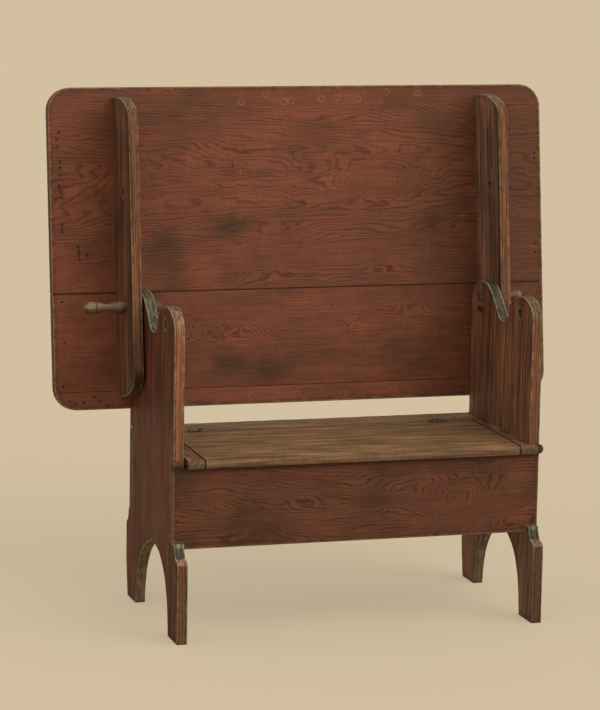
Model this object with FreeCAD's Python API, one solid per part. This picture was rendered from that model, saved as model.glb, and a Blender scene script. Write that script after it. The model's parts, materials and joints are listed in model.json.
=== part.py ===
"""Settle bench with a top that tilts over into a table.

Two end boards carry a storage seat with a hinged lid. The top hangs on two
pegs through the rear lobes of the ends and leans against their back edges.

Millimetres, +Z up. X runs along the bench, Y from the front to the back.
Shapes are drawn from the middle of the ends, the ends' front edge and the
floor, and moved at the end so that the origin is below the middle.
"""

import FreeCAD
import Part
import math
import os

# End boards
width_over_ends = 805.0
end_thickness = 23.0
end_depth = 378.0
end_height = 690.0
front_lobe_at = 63.0
front_lobe_fall = 44.0
front_lobe_back = 145.0
notch_at = 186.0
notch_depth = 70.0
notch_rise = 23.0
rear_lobe_at = 307.0
rear_lobe_fall = 61.0

# Feet and arch
front_ledge_height = 205.0
front_foot_height = 169.0
front_ledge_out = 10.0
front_foot_out = 42.0
front_foot_width = 77.0
rear_ledge_height = 199.0
rear_foot_height = 164.0
rear_ledge_out = 9.0
rear_foot_out = 27.0
rear_foot_taper = 14.0
rear_taper_height = 82.0
rear_foot_width = 71.0
cove_height = 6.0
foot_bead = 7.0
arch_height = 172.0

# Pivot and locking holes
pivot_height = 652.0
pivot_from_back = 55.0
hole_spacing = 246.0
peg_radius = 11.5
peg_clearance = 0.08

# Box
panel_thickness = 21.0
panel_bottom = 192.0
panel_tail_rise = 19.0
cleat_width = 20.0
bottom_cleat_height = 20.0
seat_cleat_height = 24.0
bottom_thickness = 18.0
bottom_rise = 20.0

# Seat
seat_height = 382.0
seat_thickness = 20.0
nosing_overhang = 16.0
rear_strip_depth = 89.0
left_strip_width = 37.0
left_strip_gap = 4.0
right_strip_width = 24.0
ear_overhang = 8.0
lid_side_gap = 1.5
lid_rear_gap = 2.0
lid_rest_gap = 0.3
batten_width = 30.0
batten_thickness = 18.0
batten_length = 210.0
batten_offset = 212.0

# Hinges
hinge_offset = 274.0
hinge_length = 38.0
hinge_radius = 4.5
hinge_pin_radius = 2.0
hinge_pin_clearance = 0.08
hinge_rise = 1.2
knuckle_count = 5
knuckle_gap = 0.3
leaf_height = 19.0
leaf_thickness = 1.8
leaf_proud = 0.6
relief_gap = 0.5
screw_radius = 1.6
screw_head_radius = 3.2
screw_length = 16.0
screw_spacing = 22.0
screw_drop = 12.0

# Tilting top
top_length = 1129.0
top_above_pivot = 473.0
top_below_pivot = 223.0
top_thickness = 24.0
top_corner_radius = 50.0
top_sideways = -4.0
upper_seam_height = 29.0
lower_strip_width = 39.0
seam_gap = 0.4
top_stop_gap = 0.3

# Cleats under the top
cleat_thickness = 22.0
cleat_to_end_gap = 3.0
cleat_behind_pivot = 85.0
cleat_before_pivot = 64.0
cleat_above_pivot = 451.0
cleat_below_pivot = 196.0
cleat_round_rise = 54.0
cleat_flat = 12.0

# Pivot pegs
peg_handle_left = 90.0
peg_handle_right = 48.0
peg_tip_left = 30.0
peg_tip_right = 2.5
peg_tip_chamfer = 2.5
peg_shoulder_gap = 0.3
peg_shoulder_radius = 13.5
peg_waist_radius = 8.0
peg_bulb_radius = 13.5
peg_end_radius = 7.0
peg_groove_depth = 1.2

# Nails and dowels
nail_shank = 3.0
nail_head_length = 7.0
nail_head_width = 4.0
nail_head_thickness = 1.5
nail_length = 55.0
nail_grip = 30.0
dowel_radius = 4.0
dowel_length = 50.0

SIDES = {"left": -1, "right": 1}

half_width = width_over_ends / 2.0
inner_half = half_width - end_thickness
pivot_y = end_depth - pivot_from_back
lock_y = pivot_y - hole_spacing
hole_radius = peg_radius + peg_clearance
panel_top = seat_height - seat_thickness
rear_seam_y = end_depth - rear_strip_depth
hinge_y = rear_seam_y - lid_rear_gap / 2.0
hinge_z = seat_height + hinge_rise
bottom_z = panel_bottom + bottom_rise

# The top leans back until its lower edge meets the back edges of the ends.
lean_reach = math.hypot(cleat_behind_pivot, top_below_pivot)
lean_offset = math.atan2(cleat_behind_pivot, top_below_pivot)
lean = lean_offset - math.asin((pivot_from_back + top_stop_gap) / lean_reach)


def box(x0, x1, y0, y1, z0, z1):
    corner = FreeCAD.Vector(x0, y0, z0)
    return Part.makeBox(x1 - x0, y1 - y0, z1 - z0, corner)


def rod(radius, start, end):
    a = FreeCAD.Vector(*start)
    b = FreeCAD.Vector(*end)
    return Part.makeCylinder(radius, (b - a).Length, a, b - a)


def line(a, b):
    return Part.LineSegment(FreeCAD.Vector(*a), FreeCAD.Vector(*b)).toShape()


def bezier(a, c, d, b):
    curve = Part.BezierCurve()
    curve.setPoles([FreeCAD.Vector(*p) for p in (a, c, d, b)])
    return curve.toShape()


def quarter(a, corner, b):
    """Quarter of an ellipse from a to b, bulging towards the corner."""
    k = 0.5523
    c = [a[i] + k * (corner[i] - a[i]) for i in range(3)]
    d = [b[i] + k * (corner[i] - b[i]) for i in range(3)]
    return bezier(a, c, d, b)


def slab(edges, direction):
    wire = Part.Wire(edges)
    return Part.Face(wire).extrude(FreeCAD.Vector(*direction))


def end_top_edges(x):
    """Two lobes with a notch between, from the front edge to the back."""
    front_z = end_height - front_lobe_fall
    notch_z = end_height - notch_depth
    wall_z = notch_z + notch_rise
    rear_z = end_height - rear_lobe_fall
    front = (x, 0, front_z)
    crown = (x, front_lobe_at, end_height)
    wall = (x, front_lobe_back, wall_z)
    notch = (x, notch_at, notch_z)
    rear = (x, rear_lobe_at, end_height)
    back = (x, end_depth, rear_z)
    reach = (rear_lobe_at - notch_at) / 2.0
    swell = 1.12 * reach
    return [
        quarter(front, (x, 0, end_height), crown),
        quarter(crown, (x, front_lobe_back, end_height), wall),
        quarter(wall, (x, front_lobe_back, notch_z), notch),
        bezier(notch, (x, notch_at + 0.6 * reach, notch_z), (x, rear_lobe_at - swell, end_height), rear),
        quarter(rear, (x, end_depth, end_height), back),
    ]


def end_foot_edges(x):
    """From the back edge down the rear foot, over the arch, up the front foot."""
    d = end_depth
    rear_cove = rear_foot_height + cove_height
    front_cove = front_foot_height + cove_height
    rear_inner = d + rear_foot_taper - rear_foot_width
    front_inner = front_foot_width - front_foot_out
    middle = (rear_inner + front_inner) / 2.0
    half = (rear_inner - front_inner) / 2.0
    apex = (x, middle, arch_height)
    return [
        line((x, d, end_height - rear_lobe_fall), (x, d, rear_ledge_height)),
        line((x, d, rear_ledge_height), (x, d + rear_ledge_out, rear_ledge_height)),
        quarter(
            (x, d + rear_ledge_out, rear_ledge_height),
            (x, d + rear_ledge_out, rear_cove),
            (x, d + rear_foot_out - foot_bead, rear_cove),
        ),
        line((x, d + rear_foot_out - foot_bead, rear_cove), (x, d + rear_foot_out, rear_foot_height)),
        line((x, d + rear_foot_out, rear_foot_height), (x, d + rear_foot_out, rear_taper_height)),
        line((x, d + rear_foot_out, rear_taper_height), (x, d + rear_foot_taper, 0)),
        line((x, d + rear_foot_taper, 0), (x, rear_inner, 0)),
        bezier(
            (x, rear_inner, 0),
            (x, rear_inner - 0.06 * half, 0.62 * arch_height),
            (x, middle + 0.55 * half, 0.88 * arch_height),
            apex,
        ),
        bezier(
            apex,
            (x, middle - 0.52 * half, arch_height),
            (x, front_inner + 0.04 * half, 0.80 * arch_height),
            (x, front_inner, 0),
        ),
        line((x, front_inner, 0), (x, -front_foot_out, 0)),
        line((x, -front_foot_out, 0), (x, -front_foot_out, front_foot_height)),
        line((x, -front_foot_out, front_foot_height), (x, foot_bead - front_foot_out, front_cove)),
        quarter(
            (x, foot_bead - front_foot_out, front_cove),
            (x, -front_ledge_out, front_cove),
            (x, -front_ledge_out, front_ledge_height),
        ),
        line((x, -front_ledge_out, front_ledge_height), (x, 0, front_ledge_height)),
        line((x, 0, front_ledge_height), (x, 0, end_height - front_lobe_fall)),
    ]


def end_board(side):
    x = side * half_width
    edges = end_top_edges(x) + end_foot_edges(x)
    body = slab(Part.sortEdges(edges)[0], (-side * end_thickness, 0, 0))
    outer = side * (half_width + 5)
    inner = side * (inner_half - 5)
    for y in (pivot_y, lock_y):
        body = body.cut(rod(hole_radius, (outer, y, pivot_height), (inner, y, pivot_height)))
    return body


def panel(y0, ledge_height):
    """Board let into the ends, with raised dovetailed tails at both sides."""
    tail = panel_top + panel_tail_rise
    right = [
        (inner_half, panel_bottom),
        (inner_half, ledge_height),
        (half_width, ledge_height),
        (half_width, tail),
        (inner_half, panel_top),
    ]
    left = [(-x, z) for x, z in reversed(right)]
    points = [FreeCAD.Vector(x, y0, z) for x, z in right + left]
    wire = Part.makePolygon(points + points[:1])
    return Part.Face(wire).extrude(FreeCAD.Vector(0, panel_thickness, 0))


def box_cleat(side, z0, height):
    x0, x1 = sorted((side * inner_half, side * (inner_half - cleat_width)))
    return box(x0, x1, panel_thickness, end_depth - panel_thickness, z0, z0 + height)


def bottom_board(y0, y1):
    return box(-inner_half, inner_half, y0, y1, bottom_z, bottom_z + bottom_thickness)


def nosed_edges(x, y1, z0):
    """Outline with a half-round front edge, from the nosing back to y1."""
    top = seat_height
    radius = (top - z0) / 2.0
    front = -nosing_overhang
    return [
        line((x, front + radius, z0), (x, y1, z0)),
        line((x, y1, z0), (x, y1, top)),
        line((x, y1, top), (x, front + radius, top)),
        quarter((x, front + radius, top), (x, front, top), (x, front, z0 + radius)),
        quarter((x, front, z0 + radius), (x, front, z0), (x, front + radius, z0)),
    ]


def nosed_board(x0, x1, y1, z0):
    return slab(nosed_edges(x0, y1, z0), (x1 - x0, 0, 0))


def left_strip():
    x0 = left_strip_gap - inner_half
    return nosed_board(x0, x0 + left_strip_width, rear_seam_y, panel_top)


def right_strip():
    """Side strip whose nosed front runs on past the end board as an ear."""
    x0 = inner_half - right_strip_width
    strip = nosed_board(x0, inner_half, rear_seam_y, panel_top)
    turn_x = half_width + ear_overhang - nosing_overhang
    ear = nosed_board(inner_half, turn_x, 0.0, panel_top)
    face = Part.Face(Part.Wire(nosed_edges(turn_x, 0.0, panel_top)))
    corner = face.revolve(FreeCAD.Vector(turn_x, 0, 0), FreeCAD.Vector(0, 0, 1), 90)
    return strip.fuse([ear, corner]).removeSplitter()


def rear_strip():
    return box(-inner_half, inner_half, rear_seam_y, end_depth, panel_top, seat_height)


def lid_board():
    x0 = left_strip_gap + left_strip_width + lid_side_gap - inner_half
    x1 = inner_half - right_strip_width - lid_side_gap
    return nosed_board(x0, x1, rear_seam_y - lid_rear_gap, panel_top + lid_rest_gap)


def lid_batten(side):
    x = side * batten_offset
    middle = (panel_thickness + rear_seam_y) / 2.0
    z1 = panel_top + lid_rest_gap
    return box(
        x - batten_width / 2.0, x + batten_width / 2.0,
        middle - batten_length / 2.0, middle + batten_length / 2.0,
        z1 - batten_thickness, z1,
    )


def hinge_leaf(x, way):
    """Leaf in the seam with its knuckles: way +1 is the fixed rear leaf."""
    first = 0 if way > 0 else 1
    start = x - hinge_length / 2.0
    pitch = hinge_length / knuckle_count
    face = lid_rear_gap / 2.0 - leaf_proud
    y0, y1 = sorted((way * face, way * (face + leaf_thickness)))
    leaf = box(start, start + hinge_length, hinge_y + y0, hinge_y + y1, hinge_z - leaf_height, hinge_z)
    solids = []
    for i in range(knuckle_count):
        x0 = start + i * pitch
        if i % 2 == first:
            solids.append(rod(hinge_radius, (x0, hinge_y, hinge_z), (x0 + pitch, hinge_y, hinge_z)))
        else:
            gap = (x0 - knuckle_gap, hinge_y, hinge_z)
            leaf = leaf.cut(rod(hinge_radius + knuckle_gap, gap, (x0 + pitch + knuckle_gap, hinge_y, hinge_z)))
    leaf = leaf.fuse(solids)
    for i in range(knuckle_count):
        x0 = start + i * pitch
        if i % 2 != first:
            gap = (x0 - knuckle_gap, hinge_y, hinge_z)
            leaf = leaf.cut(rod(hinge_radius + knuckle_gap, gap, (x0 + pitch + knuckle_gap, hinge_y, hinge_z)))
    bore = hinge_pin_radius + hinge_pin_clearance
    return leaf.cut(rod(bore, (start - 1, hinge_y, hinge_z), (start + hinge_length + 1, hinge_y, hinge_z)))


def hinge_pin(x):
    half = hinge_length / 2.0
    shank = rod(hinge_pin_radius, (x - half, hinge_y, hinge_z), (x + half, hinge_y, hinge_z))
    heads = []
    for side in (-1, 1):
        x0 = x + side * half
        heads.append(rod(hinge_pin_radius + 0.8, (x0, hinge_y, hinge_z), (x0 + side * 1.2, hinge_y, hinge_z)))
    return shank.fuse(heads)


def hinge_gain(x, way):
    """Room cut in a board for a leaf and for the turning knuckles."""
    half = hinge_length / 2.0 + knuckle_gap
    face = lid_rear_gap / 2.0 - leaf_proud + leaf_thickness
    y0, y1 = sorted((0.0, way * face))
    gain = box(x - half, x + half, hinge_y + y0, hinge_y + y1, hinge_z - leaf_height, hinge_z)
    reach = hinge_length / 2.0 + 2.0
    return gain.fuse(rod(hinge_radius + relief_gap, (x - reach, hinge_y, hinge_z), (x + reach, hinge_y, hinge_z)))


def hinge_screws(x, way):
    face = hinge_y + way * (lid_rear_gap / 2.0 - leaf_proud)
    z = hinge_z - screw_drop
    solids = []
    for side in (-1, 1):
        sx = x + side * screw_spacing / 2.0
        shank = rod(screw_radius, (sx, face, z), (sx, face + way * screw_length, z))
        head = Part.makeCone(
            screw_head_radius, screw_radius, leaf_thickness,
            FreeCAD.Vector(sx, face, z), FreeCAD.Vector(0, way, 0),
        )
        solids.append(shank.fuse(head))
    return solids


def nail(tip_direction, head, length, long_axis):
    """Cut nail with its flat head flush at head, driven along an axis."""
    axis = [abs(v) for v in tip_direction].index(1)
    sign = tip_direction[axis]
    other = [i for i in range(3) if i not in (axis, long_axis)][0]
    solids = []
    sizes = ((nail_shank, nail_shank, length), (nail_head_length, nail_head_width, nail_head_thickness))
    for along, across, depth in sizes:
        low = list(head)
        high = list(head)
        low[long_axis] -= along / 2.0
        high[long_axis] += along / 2.0
        low[other] -= across / 2.0
        high[other] += across / 2.0
        low[axis], high[axis] = sorted((head[axis], head[axis] + sign * depth))
        solids.append(box(low[0], high[0], low[1], high[1], low[2], high[2]))
    return solids[0].fuse(solids[1])


def panel_nails(y, way):
    z0 = panel_bottom + nail_grip
    z1 = panel_top - nail_grip / 2.0
    nails = []
    for side in (-1, 1):
        for z in (z0, (z0 + z1) / 2.0, z1):
            x = side * (half_width - end_thickness / 2.0)
            nails.append(nail((0, way, 0), (x, y, z), nail_length, 0))
    return nails


def bottom_nails():
    z = bottom_z + bottom_thickness
    depth = end_depth - 2 * panel_thickness
    length = bottom_thickness + bottom_cleat_height * 0.7
    nails = []
    for side in (-1, 1):
        for share in (0.12, 0.38, 0.62, 0.88):
            y = panel_thickness + share * depth
            x = side * (inner_half - cleat_width / 2.0)
            nails.append(nail((0, 0, -1), (x, y, z), length, 0))
    return nails


def seat_nails():
    length = seat_thickness + seat_cleat_height * 0.7
    left_x = -(inner_half - (cleat_width + left_strip_gap) / 2.0)
    right_x = inner_half - cleat_width / 2.0
    nails = []
    for y in (panel_thickness + nail_grip, rear_seam_y - nail_grip):
        nails.append(nail((0, 0, -1), (left_x, y, seat_height), length, 1))
        nails.append(nail((0, 0, -1), (right_x, y, seat_height), length, 1))
    rear_y = end_depth - panel_thickness / 2.0
    for i in range(-2, 3):
        x = i * (inner_half - nail_grip) / 2.0
        nails.append(nail((0, 0, -1), (x, rear_y, seat_height), length, 0))
    return nails


def lid_nails():
    z = panel_top + lid_rest_gap - batten_thickness
    middle = (panel_thickness + rear_seam_y) / 2.0
    length = batten_thickness + seat_thickness * 0.7
    nails = []
    for side in (-1, 1):
        for i in (-1, 0, 1):
            y = middle + i * (batten_length / 2.0 - nail_grip / 2.0)
            nails.append(nail((0, 0, 1), (side * batten_offset, y, z), length, 1))
    return nails


def top_slab():
    """The whole top with round corners, upright and with the pivot at zero."""
    x0 = top_sideways - top_length / 2.0
    y0 = cleat_behind_pivot
    full = box(x0, x0 + top_length, y0, y0 + top_thickness, -top_below_pivot, top_above_pivot)
    corners = [e for e in full.Edges if abs(e.tangentAt(e.FirstParameter).y) > 0.9]
    return full.makeFillet(top_corner_radius, corners)


def top_board(low, high):
    reach = top_length
    band = box(-reach, reach, 0, 2 * cleat_behind_pivot + top_thickness, low, high)
    return top_slab().common(band)


def top_cleat(side):
    """Board on edge under the top, with both its front corners rounded off."""
    x = side * (half_width + cleat_to_end_gap)
    back = cleat_behind_pivot
    front = -cleat_before_pivot
    flat = back - cleat_flat
    high = cleat_above_pivot
    low = -cleat_below_pivot
    rise = cleat_round_rise
    edges = [
        line((x, back, low), (x, back, high)),
        line((x, back, high), (x, flat, high)),
        quarter((x, flat, high), (x, front, high), (x, front, high - rise)),
        line((x, front, high - rise), (x, front, low + rise)),
        quarter((x, front, low + rise), (x, front, low), (x, flat, low)),
        line((x, flat, low), (x, back, low)),
    ]
    body = slab(edges, (side * cleat_thickness, 0, 0))
    outer = side * (half_width + cleat_to_end_gap + cleat_thickness + 5)
    for z in (0.0, hole_spacing):
        body = body.cut(rod(hole_radius, (x - side * 5, 0, z), (outer, 0, z)))
    return body


def cleat_nails(side):
    x = side * (half_width + cleat_to_end_gap + cleat_thickness / 2.0)
    y = cleat_behind_pivot + top_thickness
    seam = lower_strip_width - top_below_pivot
    lap = (seam - cleat_below_pivot) / 2.0
    upper = [upper_seam_height + share * (cleat_above_pivot - upper_seam_height) for share in (0.1, 0.37, 0.64, 0.91)]
    middle = [seam + share * (upper_seam_height - seam) for share in (0.15, 0.5, 0.85)]
    return [nail((0, -1, 0), (x, y, z), nail_length, 0) for z in upper + middle + [lap]]


def seam_dowels(height):
    y = cleat_behind_pivot + top_thickness / 2.0
    dowels = []
    for i in (-2, -1, 0, 1, 2):
        x = top_sideways + i * top_length * 0.2
        dowels.append(rod(dowel_radius, (x, y, height - dowel_length / 2.0), (x, y, height + dowel_length / 2.0)))
    return dowels


def place_top(shape):
    """Lean a piece of the top back about the pivot and set it on the pivot."""
    placed = shape.copy()
    placed.rotate(FreeCAD.Vector(0, 0, 0), FreeCAD.Vector(1, 0, 0), -math.degrees(lean))
    placed.translate(FreeCAD.Vector(0, pivot_y, pivot_height))
    return placed


def peg(side):
    """Turned handle outside the cleat, with a shank through cleat and end."""
    start = half_width + cleat_to_end_gap + cleat_thickness + peg_shoulder_gap
    tip = inner_half - (peg_tip_left if side < 0 else peg_tip_right)
    length = peg_handle_left if side < 0 else peg_handle_right
    groove = start + 0.72 * length
    bulb = start + 0.85 * length
    waist = start + 0.46 * length
    shoulder = start + 0.08 * length

    def at(x, r):
        return (side * x, r, 0)

    edges = [
        line(at(tip, 0), at(tip, peg_radius - peg_tip_chamfer)),
        line(at(tip, peg_radius - peg_tip_chamfer), at(tip + peg_tip_chamfer, peg_radius)),
        line(at(tip + peg_tip_chamfer, peg_radius), at(start, peg_radius)),
        line(at(start, peg_radius), at(start, peg_shoulder_radius - 1.0)),
        line(at(start, peg_shoulder_radius - 1.0), at(shoulder, peg_shoulder_radius)),
        bezier(
            at(shoulder, peg_shoulder_radius), at(shoulder + 0.16 * length, peg_shoulder_radius),
            at(waist - 0.16 * length, peg_waist_radius), at(waist, peg_waist_radius),
        ),
        bezier(
            at(waist, peg_waist_radius), at(waist + 0.1 * length, peg_waist_radius),
            at(groove - 0.14 * length, peg_bulb_radius - 1.2), at(groove - 1.5, peg_bulb_radius - 1.2),
        ),
        line(at(groove - 1.5, peg_bulb_radius - 1.2), at(groove, peg_bulb_radius - 1.2 - peg_groove_depth)),
        line(at(groove, peg_bulb_radius - 1.2 - peg_groove_depth), at(groove + 1.5, peg_bulb_radius - 1.0)),
        bezier(
            at(groove + 1.5, peg_bulb_radius - 1.0), at(groove + 0.05 * length, peg_bulb_radius),
            at(bulb - 0.02 * length, peg_bulb_radius), at(bulb, peg_bulb_radius),
        ),
        bezier(
            at(bulb, peg_bulb_radius), at(bulb + 0.06 * length, peg_bulb_radius),
            at(start + 0.95 * length, peg_bulb_radius - 1.5), at(start + length, peg_end_radius),
        ),
        line(at(start + length, peg_end_radius), at(start + length, 0)),
        line(at(start + length, 0), at(tip, 0)),
    ]
    face = Part.Face(Part.Wire(edges))
    turned = face.revolve(FreeCAD.Vector(0, 0, 0), FreeCAD.Vector(1, 0, 0), 360)
    turned.translate(FreeCAD.Vector(0, pivot_y, pivot_height))
    return turned


def cut_all(shape, tools):
    for tool in tools:
        shape = shape.cut(tool)
    return shape


def build_base():
    """Ends, box, fixed seat strips and the fixed half of each hinge."""
    parts = {}
    front = panel(0.0, front_ledge_height)
    back = panel(end_depth - panel_thickness, rear_ledge_height)
    nails = {
        "front_panel_nails": panel_nails(0.0, 1),
        "back_panel_nails": panel_nails(end_depth, -1),
        "bottom_nails": bottom_nails(),
        "seat_nails": seat_nails(),
    }
    every_nail = [n for group in nails.values() for n in group]
    boards = {"front_panel": front, "back_panel": back}
    for name, side in SIDES.items():
        boards["end_" + name] = end_board(side).cut(front).cut(back)
        boards["bottom_cleat_" + name] = box_cleat(side, bottom_z - bottom_cleat_height, bottom_cleat_height)
        boards["seat_cleat_" + name] = box_cleat(side, panel_top - seat_cleat_height, seat_cleat_height)
    middle = end_depth / 2.0
    boards["bottom_board_front"] = bottom_board(panel_thickness, middle - seam_gap / 2.0)
    boards["bottom_board_rear"] = bottom_board(middle + seam_gap / 2.0, end_depth - panel_thickness)
    boards["seat_strip_left"] = left_strip()
    boards["seat_strip_right"] = right_strip()
    rear = rear_strip()
    for name, side in SIDES.items():
        x = side * hinge_offset
        screws = hinge_screws(x, 1)
        rear = cut_all(rear.cut(hinge_gain(x, 1)), screws)
        parts["hinge_leaf_fixed_" + name] = [cut_all(hinge_leaf(x, 1), screws)]
        parts["hinge_pin_" + name] = [hinge_pin(x)]
        parts["hinge_screws_fixed_" + name] = screws
    boards["seat_strip_rear"] = rear
    for name, board in boards.items():
        parts[name] = [cut_all(board, every_nail)]
    parts.update(nails)
    return parts


def build_lid():
    parts = {}
    nails = lid_nails()
    board = lid_board()
    for name, side in SIDES.items():
        x = side * hinge_offset
        screws = hinge_screws(x, -1)
        board = cut_all(board.cut(hinge_gain(x, -1)), screws)
        parts["hinge_leaf_lid_" + name] = [cut_all(hinge_leaf(x, -1), screws)]
        parts["hinge_screws_lid_" + name] = screws
        parts["lid_batten_" + name] = [cut_all(lid_batten(side), nails)]
    parts["lid_board"] = [cut_all(board, nails)]
    parts["lid_nails"] = nails
    return parts


def build_top():
    """Three boards, two cleats and what fastens them, leaning back."""
    seam = lower_strip_width - top_below_pivot
    half = seam_gap / 2.0
    boards = {
        "top_board_wide": top_board(upper_seam_height + half, top_above_pivot + 1),
        "top_board_middle": top_board(seam + half, upper_seam_height - half),
        "top_board_lower": top_board(-top_below_pivot - 1, seam - half),
    }
    fixings = {
        "top_dowels_upper": seam_dowels(upper_seam_height),
        "top_dowels_lower": seam_dowels(seam),
    }
    for name, side in SIDES.items():
        boards["top_cleat_" + name] = top_cleat(side)
        fixings["top_nails_" + name] = cleat_nails(side)
    every_fixing = [f for group in fixings.values() for f in group]
    parts = {name: [cut_all(board, every_fixing)] for name, board in boards.items()}
    parts.update(fixings)
    return {name: [place_top(s) for s in solids] for name, solids in parts.items()}


def build_pegs():
    return {"peg_" + name: [peg(side)] for name, side in SIDES.items()}


def origin_shift():
    """Move that puts the origin under the middle of the whole bench."""
    back = (cleat_behind_pivot + top_thickness) * math.cos(lean) + top_above_pivot * math.sin(lean)
    rear = pivot_y + back
    return FreeCAD.Vector(-top_sideways, (front_foot_out - rear) / 2.0, 0)


def main():
    os.makedirs("parts", exist_ok=True)
    shift = origin_shift()
    groups = (build_base(), build_lid(), build_top(), build_pegs())
    for group in groups:
        for name, solids in group.items():
            pieces = [s for shape in solids for s in shape.Solids]
            shape = pieces[0] if len(pieces) == 1 else Part.makeCompound(pieces)
            shape.translate(shift)
            shape.exportStep("parts/" + name + ".step")


main()
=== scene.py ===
"""Settle bench whose tall back tips over on two pegs and becomes a table.

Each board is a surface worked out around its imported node, with worn edges, a
hand planed face and grain that runs through the solid wood. Metres, +Z up,
X along the bench and Y from the front to the back.
"""

import json
import math
import bpy
import numpy as np
from mathutils import Matrix, Vector
from mathutils.geometry import delaunay_2d_cdt


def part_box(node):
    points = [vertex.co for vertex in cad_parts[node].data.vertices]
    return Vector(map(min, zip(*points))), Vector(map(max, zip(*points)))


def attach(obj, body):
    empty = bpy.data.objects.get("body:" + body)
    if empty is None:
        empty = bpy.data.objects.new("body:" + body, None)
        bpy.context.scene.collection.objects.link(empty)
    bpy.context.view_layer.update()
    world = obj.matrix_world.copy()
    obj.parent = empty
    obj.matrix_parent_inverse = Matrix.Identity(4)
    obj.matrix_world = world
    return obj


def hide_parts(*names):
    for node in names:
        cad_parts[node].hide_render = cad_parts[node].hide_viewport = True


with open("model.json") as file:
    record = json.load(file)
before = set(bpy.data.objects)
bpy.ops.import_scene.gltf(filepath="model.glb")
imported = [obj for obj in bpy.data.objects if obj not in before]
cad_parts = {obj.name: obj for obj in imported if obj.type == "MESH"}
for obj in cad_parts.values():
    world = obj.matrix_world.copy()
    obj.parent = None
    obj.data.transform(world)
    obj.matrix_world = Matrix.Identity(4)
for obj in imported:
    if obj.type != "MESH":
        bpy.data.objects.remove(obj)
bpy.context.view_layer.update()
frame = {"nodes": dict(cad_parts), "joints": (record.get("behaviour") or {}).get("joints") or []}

bl_info = {
    "name": "Settle Bench",
    "version": (1, 0, 0),
    "blender": (4, 5, 0),
    "location": "View3D > Sidebar > Settle Bench",
    "description": "Builds a wooden settle bench with a lidded seat and a tilting top",
    "category": "Add Mesh",
}

SIDES = {"left": -1.0, "right": 1.0}
FAR = 9.0
TINY = 1e-9
MARK_KINDS = ("plug", "pit", "scratch")
PLUG, PIT, SCRATCH = range(3)

# Rubbed edges: share and size of the waves in their radius, and its least and most share of the mean
EDGE_WAVES = ((0.45, 0.05), (0.25, 0.013))
LEAST_EDGE = 0.35
MOST_EDGE = 2.2

# Depth in a board that parts its outer from its inner side
INNER_DEPTH = 0.011

# Half the length over which the edge of a nosed board steps in or out
STEEP = 2e-5


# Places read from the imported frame

def corners(node):
    """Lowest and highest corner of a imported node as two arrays."""
    low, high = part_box(node)
    return np.array(low), np.array(high)


TILT = next(j for j in frame["joints"] if j["name"] == "top_tilt")
PIVOT = np.array(TILT["pos_m"])
LEAN = math.radians(TILT["range_deg"][1] - 90.0)
UP = np.array((0.0, math.sin(LEAN), math.cos(LEAN)))
DEEP = np.array((0.0, math.cos(LEAN), -math.sin(LEAN)))
X_AXIS, Y_AXIS, Z_AXIS = np.eye(3)


# Settings that a user would change

def length(name, default, text):
    return bpy.props.FloatProperty(name=name, description=text, default=default, unit="LENGTH")


def angle(name, degrees, text):
    return bpy.props.FloatProperty(
        name=name, description=text, default=math.radians(degrees), subtype="ANGLE", unit="ROTATION"
    )


def linear(code):
    """Linear light values of a colour written as a hexadecimal code."""
    share = np.array([int(code[i:i + 2], 16) for i in (0, 2, 4)]) / 255.0
    return tuple(np.where(share <= 0.04045, share / 12.92, ((share + 0.055) / 1.055) ** 2.4))


def colour(name, code, text):
    return bpy.props.FloatVectorProperty(
        name=name, description=text, default=linear(code), size=3, min=0.0, max=1.0, subtype="COLOR"
    )


class EndSizes(bpy.types.PropertyGroup):
    """Outline of the end boards. Places run back from the front edge, heights from the floor."""

    front_lobe_at: length("Front lobe", 0.063, "Place of the front lobe's highest point")
    front_lobe_fall: length("Front fall", 0.044, "Fall of the front lobe at the front edge")
    front_lobe_back: length("Lobe back", 0.145, "Place where the front lobe falls into the notch")
    notch_at: length("Notch", 0.186, "Place of the notch's lowest point")
    notch_depth: length("Notch depth", 0.070, "Depth of the notch below the lobes")
    notch_rise: length("Notch rise", 0.023, "Height of the round at the notch's front")
    rear_lobe_at: length("Rear lobe", 0.307, "Place of the rear lobe's highest point")
    rear_lobe_fall: length("Rear fall", 0.061, "Fall of the rear lobe at the back edge")
    front_ledge: length("Front ledge", 0.205, "Height of the ledge over the front foot")
    front_foot: length("Front foot", 0.169, "Height of the front foot below its cove")
    front_ledge_out: length("Front ledge reach", 0.010, "How far the front ledge stands out")
    front_foot_out: length("Front foot reach", 0.042, "How far the front foot stands out")
    front_foot_width: length("Front foot width", 0.077, "Width of the front foot on the floor")
    rear_ledge: length("Rear ledge", 0.199, "Height of the ledge over the rear foot")
    rear_foot: length("Rear foot", 0.164, "Height of the rear foot below its cove")
    rear_ledge_out: length("Rear ledge reach", 0.009, "How far the rear ledge stands out")
    rear_foot_out: length("Rear foot reach", 0.027, "How far the rear foot stands out")
    rear_foot_taper: length("Rear foot toe", 0.014, "How far the rear foot stands out on the floor")
    rear_taper: length("Rear taper", 0.082, "Height where the rear foot starts to taper")
    rear_foot_width: length("Rear foot width", 0.071, "Width of the rear foot on the floor")
    cove: length("Cove", 0.006, "Height of the cove's foot above the bead")
    bead: length("Bead", 0.007, "Width of the sloped bead on each foot")
    arch: length("Arch", 0.172, "Height of the arch between the feet")
    hole_spacing: length("Hole spacing", 0.246, "Distance between the pivot and the locking hole")
    hole_radius: length("Hole radius", 0.01158, "Radius of the pivot and locking holes")


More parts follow.
